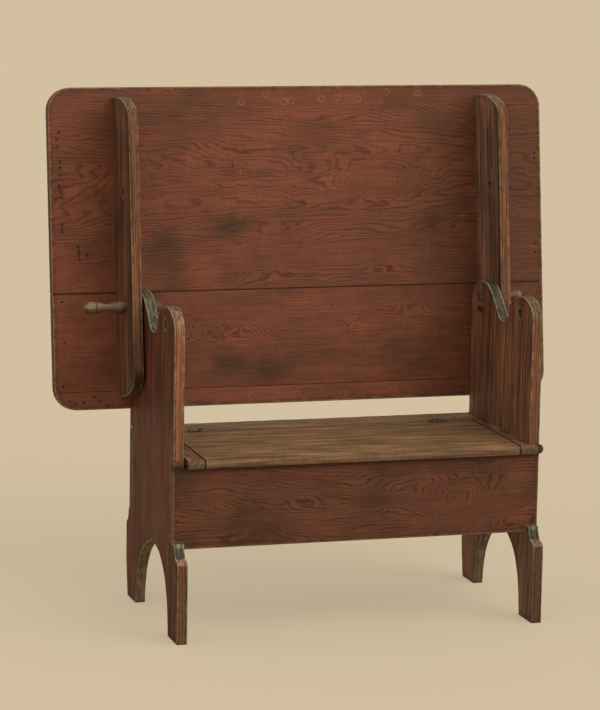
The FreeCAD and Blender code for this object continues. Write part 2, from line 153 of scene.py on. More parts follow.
class SeatSizes(bpy.types.PropertyGroup):
    """Nosed seat boards and the room for the lid's hinges."""

    nosing: length("Nosing", 0.016, "How far the seat's round nosing stands out")
    hinge_offset: length("Hinge place", 0.274, "Distance of each hinge from the middle")
    hinge_gain: length("Hinge gain", 0.0052, "Depth of the room cut for the hinge knuckles")
    hinge_length: length("Hinge length", 0.042, "Length of the room cut for each hinge")


class TopSizes(bpy.types.PropertyGroup):
    """Tilting top and its cleats. Heights run up the leaning top from the pivot."""

    corner: length("Corner", 0.050, "Radius of the top's corners")
    above: length("Above", 0.473, "Height of the top's upper edge")
    below: length("Below", 0.223, "Depth of the top's lower edge")
    upper_seam: length("Upper seam", 0.029, "Height of the seam under the wide board")
    lower_strip: length("Lower strip", 0.039, "Width of the lower strip")
    seam: length("Seam", 0.0004, "Gap between neighbouring boards")
    thickness: length("Thickness", 0.024, "Thickness of the top boards")
    behind: length("Behind", 0.085, "Distance of the top's near face behind the pivot")
    cleat_before: length("Cleat front", 0.064, "Distance of the cleat's front edge before the pivot")
    cleat_above: length("Cleat above", 0.451, "Height of the cleat's upper end")
    cleat_below: length("Cleat below", 0.196, "Depth of the cleat's lower end")
    cleat_round: length("Cleat round", 0.054, "Height of the rounded cleat ends")
    cleat_flat: length("Cleat flat", 0.012, "Flat left on the cleat's ends at the top board")


class PegSizes(bpy.types.PropertyGroup):
    """Turned pivot peg, from its shoulder outwards."""

    shank: length("Shank", 0.0115, "Radius of the shank")
    shoulder: length("Shoulder", 0.0135, "Radius of the shoulder")
    waist: length("Waist", 0.008, "Radius of the waist")
    bulb: length("Bulb", 0.0135, "Radius of the bulb")
    tip: length("Tip", 0.007, "Radius of the flat outer end")
    gap: length("Shoulder gap", 0.0003, "Gap between the shoulder and the cleat")
    groove: length("Groove", 0.0012, "Depth of the groove before the bulb")


class WearSizes(bpy.types.PropertyGroup):
    """How far use has softened the wood."""

    arris: length("Arris", 0.0014, "Mean radius of the worn edges")
    planed: length("Planing", 0.0005, "Depth of the hand planed hollows")
    net: length("Net", 0.009, "Spacing of the points on a face")


WOODS = {
    "red": ("Top boards and panels", "7d4830", "3b1f13", "52361e", "7d6446", "402c1b", "917552"),
    "end": ("End boards", "7a4527", "271813", "432c1c", "8a5738", "4f4b39", "b5a588"),
    "cleat": ("Cleats", "6b442e", "2a1810", "2c221b", "7b5033", "6f634c", "ae9a78"),
    # The seat's side tone is darker than its face: on the nosing it is painted shade on the front.
    "seat": ("Seat boards", "886647", "3b2917", "655733", "664930", "4d4130", "bd9468"),
    "peg": ("Pegs", "967e59", "30271b", "3c3425", "4a3323", "33241a", "a48e68"),
    "inner": ("Hidden boards", "8a6a48", "664a30", "6d5a3c", "8a6a48", "6f5638", "97754f"),
}
TONES = ("face", "line", "patch", "side", "end", "worn")


class WoodColours(bpy.types.PropertyGroup):
    """Six tones for each wood: face, grain line, dark patch, narrow side, end grain and worn edge, which also
    paints highlights along the arrises.
    """


for kind, (label, *codes) in WOODS.items():
    for tone, code in zip(TONES, codes):
        text = f"{label}: colour of the {tone}"
        WoodColours.__annotations__[f"{kind}_{tone}"] = colour(f"{label} {tone}", code, text)


class StageSettings(bpy.types.PropertyGroup):
    """Floor, lamps and the camera's place."""

    floor: colour("Floor", "d3c1a3", "Colour of the floor and the background")
    target: bpy.props.FloatVectorProperty(
        name="Target", description="Point in the middle of the view",
        default=(-0.0614, 0.0, 0.5522), subtype="TRANSLATION", unit="LENGTH",
    )
    distance: length("Distance", 6.4878, "Distance of the camera from its target")
    yaw: angle("Yaw", -16.912, "Turn of the camera about the vertical")
    pitch: angle("Pitch", 9.655, "Angle from which the camera looks down")
    roll: angle("Roll", 0.967, "Turn of the camera about its own view line")
    lens: bpy.props.FloatProperty(
        name="Lens", description="Focal length of the camera", default=153.12, unit="CAMERA",
    )


SETTINGS = {
    "bench_end": EndSizes,
    "bench_seat": SeatSizes,
    "bench_top": TopSizes,
    "bench_peg": PegSizes,
    "bench_wear": WearSizes,
    "bench_woods": WoodColours,
    "bench_stage": StageSettings,
}


# Outlines

def quarter(count):
    """Angles from nought to a quarter turn."""
    return np.linspace(0.0, math.pi / 2.0, count)


def circle(count, way=1.0):
    """Points of the unit circle, clockwise if way is -1."""
    turn = np.linspace(0.0, way * 2.0 * math.pi, count, endpoint=False)
    return np.stack((np.cos(turn), np.sin(turn)), 1)


def arc(a, corner, b):
    """Quarter ellipse: its centre plus the cosine and sine shares of the two half axes."""
    a, corner, b = np.array((a, corner, b), float)
    centre = a + b - corner
    turn = quarter(12)[:, None]
    return centre + (a - centre) * np.cos(turn) + (b - centre) * np.sin(turn)


def bow(a, c, d, b):
    """Cubic curve: the four points weighted by the shares (1-t)^3, 3t(1-t)^2, 3t^2(1-t) and t^3."""
    t = np.linspace(0.0, 1.0, 22)[:, None]
    a, c, d, b = np.array((a, c, d, b), float)
    return a * (1 - t) ** 3 + c * 3 * t * (1 - t) ** 2 + d * 3 * t**2 * (1 - t) + b * t**3


def without_doubles(points):
    """Points of a closed loop that lie over a thousandth of a millimetre from the one before."""
    gap = np.linalg.norm(points - np.roll(points, 1, 0), axis=1)
    return points[gap > 1e-6]


def soften(points, radius):
    """Rounds each corner of over 25 degrees with a parabola that starts and ends radius from it."""
    back = np.roll(points, 1, 0) - points
    ahead = np.roll(points, -1, 0) - points
    back_length = np.linalg.norm(back, axis=1)[:, None]
    ahead_length = np.linalg.norm(ahead, axis=1)[:, None]
    back, ahead = back / back_length, ahead / ahead_length
    sharp = (back * ahead).sum(1, keepdims=True) > -math.cos(math.radians(25.0))
    reach = np.where(sharp, np.minimum(radius, 0.4 * np.minimum(back_length, ahead_length)), 0.0)
    t = np.linspace(0.0, 1.0, 5)[None, :, None]
    start, end = (points + back * reach)[:, None], (points + ahead * reach)[:, None]
    curve = start * (1 - t) ** 2 + points[:, None] * 2 * t * (1 - t) + end * t**2
    return without_doubles(curve.reshape(-1, 2))


def ring(*runs, step=0.008, corner=0.0022):
    """Closed outline: the runs joined end to end, corners softened and long sides divided evenly."""
    points = without_doubles(np.concatenate([np.atleast_2d(np.array(run, float)) for run in runs]))
    points = soften(points, corner)
    side = np.roll(points, -1, 0) - points
    parts = np.maximum(np.ceil(np.linalg.norm(side, axis=1) / step).astype(int), 1)
    start = np.repeat(np.arange(len(points)), parts)
    count = np.arange(parts.sum()) - np.repeat(np.cumsum(parts) - parts, parts)
    return points[start] + side[start] * (count / parts[start])[:, None]


def hole(centre, radius):
    """Circle that runs clockwise, so that its outward side is the hole."""
    return np.array(centre) + radius * circle(28, -1.0)


def outward(loop):
    """Mitred outward normals of a closed anticlockwise loop of points."""
    side = np.roll(loop, -1, -2) - loop
    side = side / np.maximum(np.linalg.norm(side, axis=-1, keepdims=True), TINY)
    after = np.stack((side[..., 1], -side[..., 0]), -1)
    before = np.roll(after, 1, -2)
    share = 1.0 + (after * before).sum(-1, keepdims=True)
    return (after + before) / np.maximum(share, 0.6)


def fold_limit(loop):
    """How far each point may move in along its normal before it would pass its neighbour.

    That is 0.7 of span squared over the closing of the two normals. Six passes spread it to both
    sides, where it may rise by no more than half of each span.
    """
    kept = 0.7
    slope = 0.5
    passes = 6
    normal = outward(loop)
    side = np.roll(loop, -1, 0) - loop
    closing = ((np.roll(normal, -1, 0) - normal) * side).sum(1)
    span = np.linalg.norm(side, axis=1)
    reach = np.minimum(span**2 / np.maximum(closing, TINY), 1.0)
    limit = kept * np.minimum(reach, np.roll(reach, 1))
    for _ in range(passes):
        limit = np.minimum(limit, np.roll(limit, -1) + slope * span)
        limit = np.minimum(limit, np.roll(limit + slope * span, 1))
    return limit


def swell(points, size, seed):
    """Smooth bumps from about -1 to 1: the mean of seven sine waves in seeded directions."""
    draw = np.random.default_rng(seed)
    waves = draw.normal(size=(7, points.shape[-1]))
    waves /= np.linalg.norm(waves, axis=1, keepdims=True) * size * draw.uniform(0.7, 1.6, (7, 1))
    phase = draw.uniform(0.0, 2.0 * math.pi, 7)
    return 1.6 * np.sin(points @ waves.T * 2.0 * math.pi + phase).mean(-1)


def hollows(points, size, seed, mean=0.6):
    """Depth of the hollows that the plane left: a mean depth plus smooth bumps of the given size."""
    return bpy.context.scene.bench_wear.planed * (mean + 0.4 * swell(points, size, seed))


# Surfaces

def new_piece(name, points, quads, triangles, fields, grain):
    """Mesh object from whole arrays, turned outwards if its signed volume is negative."""
    corner = np.concatenate((quads.ravel(), triangles.ravel())).astype(np.int32)
    halves = np.concatenate((quads[:, :3], quads[:, [0, 2, 3]], triangles))
    a, b, c = (points[halves[:, i]] for i in range(3))
    if (a * np.cross(b, c)).sum() < 0.0:
        corner = np.concatenate((quads[:, ::-1].ravel(), triangles[:, ::-1].ravel())).astype(np.int32)
    start = np.concatenate((np.arange(len(quads)) * 4, len(quads) * 4 + np.arange(len(triangles)) * 3))
    mesh = bpy.data.meshes.new(name)
    mesh.vertices.add(len(points))
    mesh.vertices.foreach_set("co", points.ravel())
    mesh.loops.add(len(corner))
    mesh.loops.foreach_set("vertex_index", corner)
    mesh.polygons.add(len(start))
    mesh.polygons.foreach_set("loop_start", start.astype(np.int32))
    mesh.polygons.foreach_set("use_smooth", np.ones(len(start), bool))
    mesh.update(calc_edges=True)
    if mesh.validate():
        raise ValueError(f"{name} has a face that isn't valid")
    normal = np.zeros(len(points) * 3, np.float32)
    mesh.vertices.foreach_get("normal", normal)
    fields = dict(fields, end=np.abs(normal.reshape(-1, 3) @ grain) ** 3)
    for key, values in fields.items():
        kind = "FLOAT_VECTOR" if values.ndim == 2 else "FLOAT"
        data = mesh.attributes.new(key, kind, "POINT").data
        data.foreach_set("vector" if values.ndim == 2 else "value", values.astype(np.float32).ravel())
    piece = bpy.data.objects.new(name, mesh)
    bpy.context.scene.collection.objects.link(piece)
    return piece


def stitched(start, rows, count):
    """Quads between neighbouring rows of a closed grid of points."""
    row, column = np.meshgrid(np.arange(rows - 1), np.arange(count), indexing="ij")
    after = (column + 1) % count
    quad = (row * count + column, (row + 1) * count + column, (row + 1) * count + after, row * count + after)
    return start + np.stack(quad, -1).reshape(-1, 4)


def segments(loops):
    """Start and end of every side of the closed loops."""
    return np.concatenate(loops), np.concatenate([np.roll(loop, -1, 0) for loop in loops])


def inside(points, loops):
    """Even and odd rule: inside is where a line to the right crosses the loops an odd number of times."""
    a, b = segments(loops)
    x, y = points[:, 0, None], points[:, 1, None]
    spans = (a[:, 1] > y) != (b[:, 1] > y)
    rise = np.where(np.abs(b[:, 1] - a[:, 1]) < 1e-12, 1e-12, b[:, 1] - a[:, 1])
    crossing = a[:, 0] + (y - a[:, 1]) * (b[:, 0] - a[:, 0]) / rise
    return (spans & (x < crossing)).sum(1) % 2 == 1


def edge_distance(points, loops):
    """Distance of each point from the nearest side of the loops."""
    a, b = segments(loops)
    side = b - a
    away = points[:, None] - a
    share = np.clip((away * side).sum(-1) / (side**2).sum(-1), 0.0, 1.0)
    return np.linalg.norm(away - side * share[..., None], axis=-1).min(1)


def mark_reach(points, marks):
    """Distance from the nearest mark in radii of that mark, which has one along and one across."""
    if len(marks) == 0:
        return np.full(len(points), FAR)
    away = np.linalg.norm((points[:, None] - marks[:, :2]) / marks[:, 2:4], axis=-1)
    return np.minimum(away.min(1), FAR)


def face_net(loops, marks, step, seed):
    """Points inside the loops: a shaken square net, with rings of points around each mark.

    The square net stays clear of the marks, counted in their radii. Away from the marks every point
    stays 0.45 of a step and a little more from the loops, and near them only the little more.
    """
    clear = 1.9
    near_mark = 1.8
    shake = 0.25
    margin = 0.45 * step
    least_margin = 0.0004
    low, high = loops[0].min(0), loops[0].max(0)
    x, y = np.meshgrid(np.arange(low[0], high[0], step), np.arange(low[1], high[1], step))
    net = np.stack((x.ravel(), y.ravel()), 1)
    net += np.random.default_rng(seed).uniform(-shake, shake, net.shape) * step
    net = net[mark_reach(net, marks) > clear]
    if len(marks):
        share = np.repeat((0.25, 0.5, 0.75, 1.0, 1.3, 1.7), 12)
        spoke = np.concatenate((np.zeros((1, 2)), np.tile(circle(12), (6, 1)) * share[:, None]))
        around = marks[:, None, :2] + spoke * marks[:, None, 2:4]
        net = np.concatenate((net, around.reshape(-1, 2)))
    net = net[inside(net, loops)]
    return net[edge_distance(net, loops) > margin * (mark_reach(net, marks) > near_mark) + least_margin]


def filled(loops, net):
    """Triangles over a face: the Delaunay net of its loops and inner points, kept where it is wood."""
    points = np.concatenate(loops + [net])
    starts = np.cumsum([0] + [len(loop) for loop in loops])
    rims = [(s + i, s + (i + 1) % len(loop)) for s, loop in zip(starts, loops) for i in range(len(loop))]
    made = delaunay_2d_cdt([Vector(p) for p in points], rims, [], 0, TINY)
    if not all(made[3]):
        raise ValueError("a face's outline crosses itself")
    triangles = np.array([old[0] for old in made[3]])[np.array(made[2])]
    a, b, c = (points[triangles[:, i]] for i in range(3))
    turn = (b - a)[:, 0] * (c - a)[:, 1] - (b - a)[:, 1] * (c - a)[:, 0]
    triangles = np.where(turn[:, None] < 0.0, triangles[:, ::-1], triangles)
    return triangles[inside((a + b + c) / 3.0, loops) & (np.abs(turn) > 1e-13)]


def section_table(thickness):
    """Rows of a board's side: inset and depth shares of the edge radius, lead, depth share, side share."""
    step = 0.009
    lead = 0.0005
    turn = quarter(5)
    zero = np.zeros(5)
    near = np.stack((1 - np.sin(turn), zero, zero, 1 - np.cos(turn), np.sin(turn) ** 2), 1)
    near = np.concatenate((((1.0, lead, 0.0, 0.0, 0.0),), near))
    middle = np.linspace(0.0, 1.0, max(int(thickness / step), 2) + 1)[1:-1]
    zero = np.zeros(len(middle))
    across = np.stack((zero, zero, middle, 1 - 2 * middle, zero + 1), 1)
    far = near[::-1] * (1, 1, 1, -1, 1) + (0, 0, 1, 0, 0)
    return np.concatenate((near, across, far))


def flat_board(name, loops, thickness, place, along, radius, inner=None, marks=(), back_marks=(),
               dent=0.0, seed=0, joints=(), rim_loops=None):
    """Board between two flat faces.

    Each loop is carried through the thickness. At depth d it is inset by r(1 - sin a) along its
    normals while the depth is r(1 - cos a), so both arrises are quarter rounds of the worn radius r.
    Both faces dip by smooth planing hollows, and the front one by exp(-2(distance / radius)^2) at pits.
    A mark has a centre, two radii and the number of its kind. A joint is an axis and a level where
    the board meets its neighbour, and how tight it is.
    """
    marks, back_marks = (np.array(rows, float).reshape(-1, 5) for rows in (marks, back_marks))
    kinds = {
        kind: (marks[marks[:, 4] == number], back_marks[back_marks[:, 4] == number])
        for number, kind in enumerate(MARK_KINDS)
    }
    share, lead, deep, turned, side = section_table(thickness).T[..., None]
    origin, p_axis, q_axis, t_axis = place
    rims, depths, points, quads, triangles = [], [], [], [], []
    fields = {key: [] for key in ("grain", "rim", "joint", "side", "hole", *kinds)}

    def planed(flat):
        return hollows(flat, 0.11, seed + 3)

    def dip(flat):
        return planed(flat) + dent * np.exp(-2.0 * mark_reach(flat, kinds["pit"][0]) ** 2)

    def stored(flat, depth, rim, side_share, hole_share):
        points.append(origin + flat[:, :1] * p_axis + flat[:, 1:] * q_axis + depth[:, None] * t_axis)
        uv = flat if along == 0 else flat[:, ::-1]
        gaps = [np.abs(flat[:, axis] - level) * tight for axis, level, tight in joints]
        row = {
            "grain": np.concatenate((uv, depth[:, None]), 1),
            "rim": rim,
            "joint": np.minimum.reduce(gaps + [np.full(len(flat), FAR)]),
            "side": side_share,
            "hole": side_share * hole_share,
        }
        front = (depth < thickness / 2.0) & (side_share == 0.0)
        back = (depth > thickness / 2.0) & (side_share == 0.0)
        for kind, (places, behind) in kinds.items():
            away = np.where(front, mark_reach(flat, places), FAR)
            row[kind] = np.where(back, mark_reach(flat, behind), away)
        for key, values in row.items():
            fields[key].append(values)

    start = 0
    for number, (outer_loop, inner_loop) in enumerate(zip(loops, loops if inner is None else inner)):
        waves = [part * swell(outer_loop, size, seed + i) for i, (part, size) in enumerate(EDGE_WAVES)]
        worn = radius * (1.0 + waves[0] + waves[1])
        worn = np.clip(worn, LEAST_EDGE * radius, min(MOST_EDGE * radius, 0.4 * thickness))
        limit = fold_limit(outer_loop)
        worn = np.minimum(worn, 0.75 * limit)[None]
        inset = share * worn + np.minimum(lead, 0.25 * limit)
        depth = deep * thickness + turned * worn
        slant = (inner_loop - outer_loop) * deep[..., None]
        flat = outer_loop + slant - outward(outer_loop) * inset[..., None]
        facing = np.where(deep == 0.0, 1.0, np.where(deep == 1.0, -1.0, 0.0)) * (1.0 - side)
        rows, count = depth.shape
        spread = flat.reshape(-1, 2)
        depth = depth + facing * dip(spread).reshape(rows, count)
        middle = (side == 1.0) & (deep > 0.0) & (deep < 1.0)
        rim = np.where(middle, np.minimum(deep, 1 - deep) * thickness, 0.0)
        rim, side_share = (np.broadcast_to(part, depth.shape).ravel() for part in (rim, side))
        if rim_loops is not None:
            rim = np.maximum(rim, edge_distance(spread, rim_loops) - 0.002)
        stored(spread, depth.ravel(), rim, side_share, float(number > 0))
        quads.append(stitched(start, rows, count))
        rims.append((start + np.arange(count), start + (rows - 1) * count + np.arange(count)))
        depths.append((flat[0], flat[-1]))
        start += rows * count

    for face in (0, 1):
        edges = [pair[face] for pair in depths]
        net = face_net(edges, (marks, back_marks)[face], bpy.context.scene.bench_wear.net, seed + face)
        index = np.concatenate([pair[face] for pair in rims] + [start + np.arange(len(net))])
        made = index[filled(edges, net)]
        triangles.append(made[:, ::-1] if face else made)
        depth = thickness - planed(net) if face else dip(net)
        rim = edge_distance(net, edges if rim_loops is None else rim_loops)
        stored(net, depth, rim, np.zeros(len(net)), 0.0)
        start += len(net)
    fields = {key: np.concatenate(parts) for key, parts in fields.items()}
    points, quads, triangles = (np.concatenate(parts) for parts in (points, quads, triangles))
    return new_piece(name, points, quads, triangles, fields, q_axis if along else p_axis)


def bare(shape):
    """Fields of a surface that has no marks and no holes."""
    return {"hole": np.zeros(shape), **{key: np.full(shape, FAR) for key in ("joint", *MARK_KINDS)}}


def carried(name, sections, fields, grain):
    """Closed surface through rows of points, with a fan over its first and last row.

    A field may leave out the rows or the columns that it is the same in.
    """
    rows, count = sections.shape[:2]
    ends = [sections[0].mean(0), sections[-1].mean(0)]
    points = np.concatenate((sections.reshape(-1, 3), ends))
    first, last = rows * count, rows * count + 1
    column = np.arange(count)
    after = (column + 1) % count
    near = np.stack((np.full(count, first), column, after), 1)
    far = np.stack((np.full(count, last), (rows - 1) * count + after, (rows - 1) * count + column), 1)
    full = {}
    for key, values in fields.items():
        values = np.broadcast_to(values, (rows, count, *values.shape[2:]))
        caps = values[[0, -1]].mean(1)
        full[key] = np.concatenate((values.reshape(rows * count, *values.shape[2:]), caps))
    return new_piece(name, points, stitched(0, rows, count), np.concatenate((near, far)), full, grain)


def nosed_profile(top, bottom, front):
    """Points of a section with a half round nose: share of the way to the rear, shift back and height.

    The nose is front + r - r cos a back and r sin a up. The two rear arrises are quarter rounds.
    """
    radius = (top - bottom) / 2.0
    nose = np.radians(np.linspace(-90.0, 90.0, 15))
    share = np.linspace(0.0, 1.0, 42)[1:-1]
    level = share * 0.0
    turn = quarter(4)
    rear_radius = 0.0028
    back = -rear_radius * (1.0 - np.sin(turn))
    high = top - rear_radius * (1.0 - np.cos(turn))
    low = bottom + rear_radius * (1.0 - np.cos(turn))
    shares = np.concatenate((np.zeros(15), share, np.ones(8), share[::-1]))
    shift = np.concatenate((radius - radius * np.cos(nose), level, back, back[::-1], level))
    round_height = (top + bottom) / 2.0 + radius * np.sin(nose)
    height = np.concatenate((round_height, level + top, high, low[::-1], level + bottom))
    nose_share = np.concatenate((np.cos(nose), level, np.zeros(8), level))
    return shares, np.where(shares == 0.0, front + shift, shift), height, nose_share, front + radius


def nosed_board(name, stations, rears, profile, turns, along, seed, inset):
    """Nosed profile carried along the stations.

    A station is the point that the profile is drawn from, rear is how far back it reaches and turn
    is its angle about the vertical: the profile's back direction is (-sin, cos) of that angle.
    """
    shares, shift, height, nose, nose_back = profile
    back = np.where(shares == 0.0, shift, nose_back + shares * (rears[:, None] - nose_back) + shift)
    flat = np.stack((back, np.broadcast_to(height, back.shape)), -1)
    turn = np.radians(turns)[:, None, None]
    way = np.concatenate((-np.sin(turn), np.cos(turn), turn * 0), -1)

    def placed(section):
        return stations[:, None] + section[..., :1] * way + section[..., 1:] * Z_AXIS

    knocks = 0.0012
    deepest = 0.0045
    inward = 0.2
    rough = placed(flat)
    worn = hollows(rough, 0.09, seed) + nose * knocks * np.abs(swell(rough, 0.035, seed + 1))
    pull = np.minimum(worn + inset[:, None], deepest)
    points = placed(flat - outward(flat) * pull[..., None])
    ends = np.linalg.norm(stations[:, :2] - stations[:1, :2], axis=1)
    ends = np.minimum(ends, ends[-1] - ends)[:, None]
    fields = {
        **bare(back.shape),
        "grain": points[..., [1, 0, 2] if along else [0, 1, 2]],
        "rim": np.full(back.shape, inward),
        "joint": np.maximum(np.minimum(np.minimum(2.5 * ends, inward), np.abs(rears[:, None] - back)), 0.0),
        "side": nose,
    }
    return carried(name, points, fields, np.eye(3)[along])


def stepped(low, high, gains, step=0.009, radius=0.001):
    """Places along a board, the inset of each and whether it lies in a gain.

    Near both ends the inset is r(1 - sin a) at r(1 - cos a) from the end. Both ends of a gain have
    two places close together, so that its sides are steep.
    """
    clear = 0.002
    turn = quarter(4)
    near, far = low + radius * (1 - np.cos(turn)), high - radius * (1 - np.cos(turn[::-1]))
    middle = np.linspace(near[-1], far[0], max(int((far[0] - near[-1]) / step), 2) + 1)[1:-1]
    sides = np.array([edge + shift for gain in gains for edge in gain for shift in (-STEEP, STEEP)])
    middle = middle[(np.abs(middle[:, None] - sides) > clear).all(1)]
    middle = np.sort(np.concatenate((middle, sides)))
    place = np.concatenate((near, middle, far))
    ease = radius * (1 - np.sin(turn))
    inset = np.concatenate((ease, middle * 0.0, ease[::-1]))
    cut = np.zeros(len(place), bool)
    for start, end in gains:
        cut |= (place > start) & (place < end)
    return place, inset, cut


def plank(name, along, seed):
    """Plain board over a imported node's box: the rounded rectangle of its section carried along the grain."""
    net = 0.012
    radius = bpy.context.scene.bench_wear.arris * 0.8
    low, high = corners(name)
    across = [axis for axis in range(3) if axis != along]
    a, b = low[across], high[across]
    loop = ring((a, (b[0], a[1]), b, (a[0], b[1])), step=net, corner=radius)
    station, inset, _ = stepped(low[along], high[along], (), net, radius)
    points = np.zeros((len(station), len(loop), 3))
    points[..., across] = loop - outward(loop) * inset[:, None, None]
    points[..., along] = station[:, None]
    normal = np.zeros_like(points)
    normal[..., across] = outward(loop)
    points -= normal * hollows(points, 0.08, seed, 0.5)[..., None]
    rim = np.minimum(station - low[along], high[along] - station)[:, None]
    rim = np.minimum(rim, np.minimum(np.abs(loop - a).max(1), np.abs(b - loop).max(1)))
    wide = int(np.argmax(b - a))
    edge = np.abs(outward(loop)[:, wide]) > 0.5
    fields = {
        "grain": points[..., [along, across[wide], across[1 - wide]]],
        "rim": np.maximum(rim, 0.0),
        "side": edge * 1.0,
        **bare(points.shape[:2]),
    }
    return carried(name + "_wood", points, fields, np.eye(3)[along])


# Shader webs

class Web:
    """A node tree with short calls that add one node and give its output."""

    def __init__(self, tree):
        self.tree = tree

    def feed(self, sockets, values):
        """Links each value that is an output to its socket, and stores every other value in it."""
        for key, value in values.items():
            if isinstance(value, bpy.types.NodeSocket):
                self.tree.links.new(value, sockets[key])
            else:
                sockets[key].default_value = value

    def add(self, kind, wires=None, **settings):
        node = self.tree.nodes.new(kind)
        for key, value in settings.items():
            setattr(node, key, value)
        self.feed(node.inputs, wires or {})
        return node

    def math(self, operation, *values, clamp=False):
        node = self.add("ShaderNodeMath", dict(enumerate(values)), operation=operation, use_clamp=clamp)
        return node.outputs[0]

    def plus(self, total, *others):
        for other in others:
            total = self.math("ADD", total, other)
        return total

    def times(self, product, *others):
        for other in others:
            product = self.math("MULTIPLY", product, other)
        return product

    def minus(self, a, b):
        return self.math("SUBTRACT", a, b)

    def vector(self, operation, *values, output=0):
        wires = dict(enumerate(values))
        return self.add("ShaderNodeVectorMath", wires, operation=operation).outputs[output]

    def split(self, vector):
        return self.add("ShaderNodeSeparateXYZ", {0: vector}).outputs

    def join(self, *parts):
        return self.add("ShaderNodeCombineXYZ", dict(enumerate(parts))).outputs[0]

    def span(self, value, low, high, start=0.0, end=1.0):
        """Smooth step from start at the low value to end at the high one."""
        wires = {0: value, 1: low, 2: high, 3: start, 4: end}
        return self.add("ShaderNodeMapRange", wires, interpolation_type="SMOOTHSTEP").outputs[0]

    def mix(self, share, a, b, blend="MIX"):
        a, b = (v if isinstance(v, bpy.types.NodeSocket) else (*v, 1.0)[:4] for v in (a, b))
        node = self.add("ShaderNodeMix", {0: share, 6: a, 7: b}, data_type="RGBA", blend_type=blend)
        return node.outputs[2]

    def noise(self, place, scale, detail=2.0, rough=0.5, seed=0.0):
        """Noise from 0 to 1 over a place that is stretched by one scale per axis."""
        spread = self.vector("MULTIPLY", place, scale)
        moved = self.vector("ADD", spread, (seed, seed * 1.7, seed * 0.6))
        wires = {"Vector": moved, "Scale": 1.0, "Detail": detail, "Roughness": rough}
        return self.add("ShaderNodeTexNoise", wires).outputs[0]

    def field(self, name, output="Fac"):
        return self.add("ShaderNodeAttribute", attribute_name=name).outputs[output]

    def bump(self, height, strength, distance):
        wires = {"Height": height, "Strength": strength, "Distance": distance}
        return self.add("ShaderNodeBump", wires).outputs[0]

    def group(self, name, build, values):
        """Adds a shared node group, built at its first use, with its own values."""
        tree = bpy.data.node_groups.get(name) or build(name)
        return self.add("ShaderNodeGroup", values, node_tree=tree).outputs


def shader_group(name, inputs, outputs):
    """Empty node group with named inputs, at their usual values, and outputs, and the web that fills it."""
    tree = bpy.data.node_groups.new(name, "ShaderNodeTree")
    for label, usual in inputs.items():
        kind = "NodeSocketVector" if isinstance(usual, tuple) else "NodeSocketFloat"
        tree.interface.new_socket(label, in_out="INPUT", socket_type=kind).default_value = usual
    for label in outputs:
        tree.interface.new_socket(label, in_out="OUTPUT", socket_type="NodeSocketFloat")
    web = Web(tree)
    return web, web.add("NodeGroupInput").outputs, web.add("NodeGroupOutput").inputs


def new_material(name):
    """Empty material, the web that fills it and its shader."""
    material = bpy.data.materials.new(name)
    material.use_nodes = True
    return material, Web(material.node_tree), material.node_tree.nodes["Principled BSDF"]


FIGURE = {
    "Ring Width": 0.0021, "Pith": (0.0, 0.0, -0.25), "Taper": 0.02, "Flame": 0.016,
    "Flame Scale": (3.8, 15.0, 15.0), "Wander": 1.0, "Fibre Scale": (1.0, 1.0, 1.0),
}


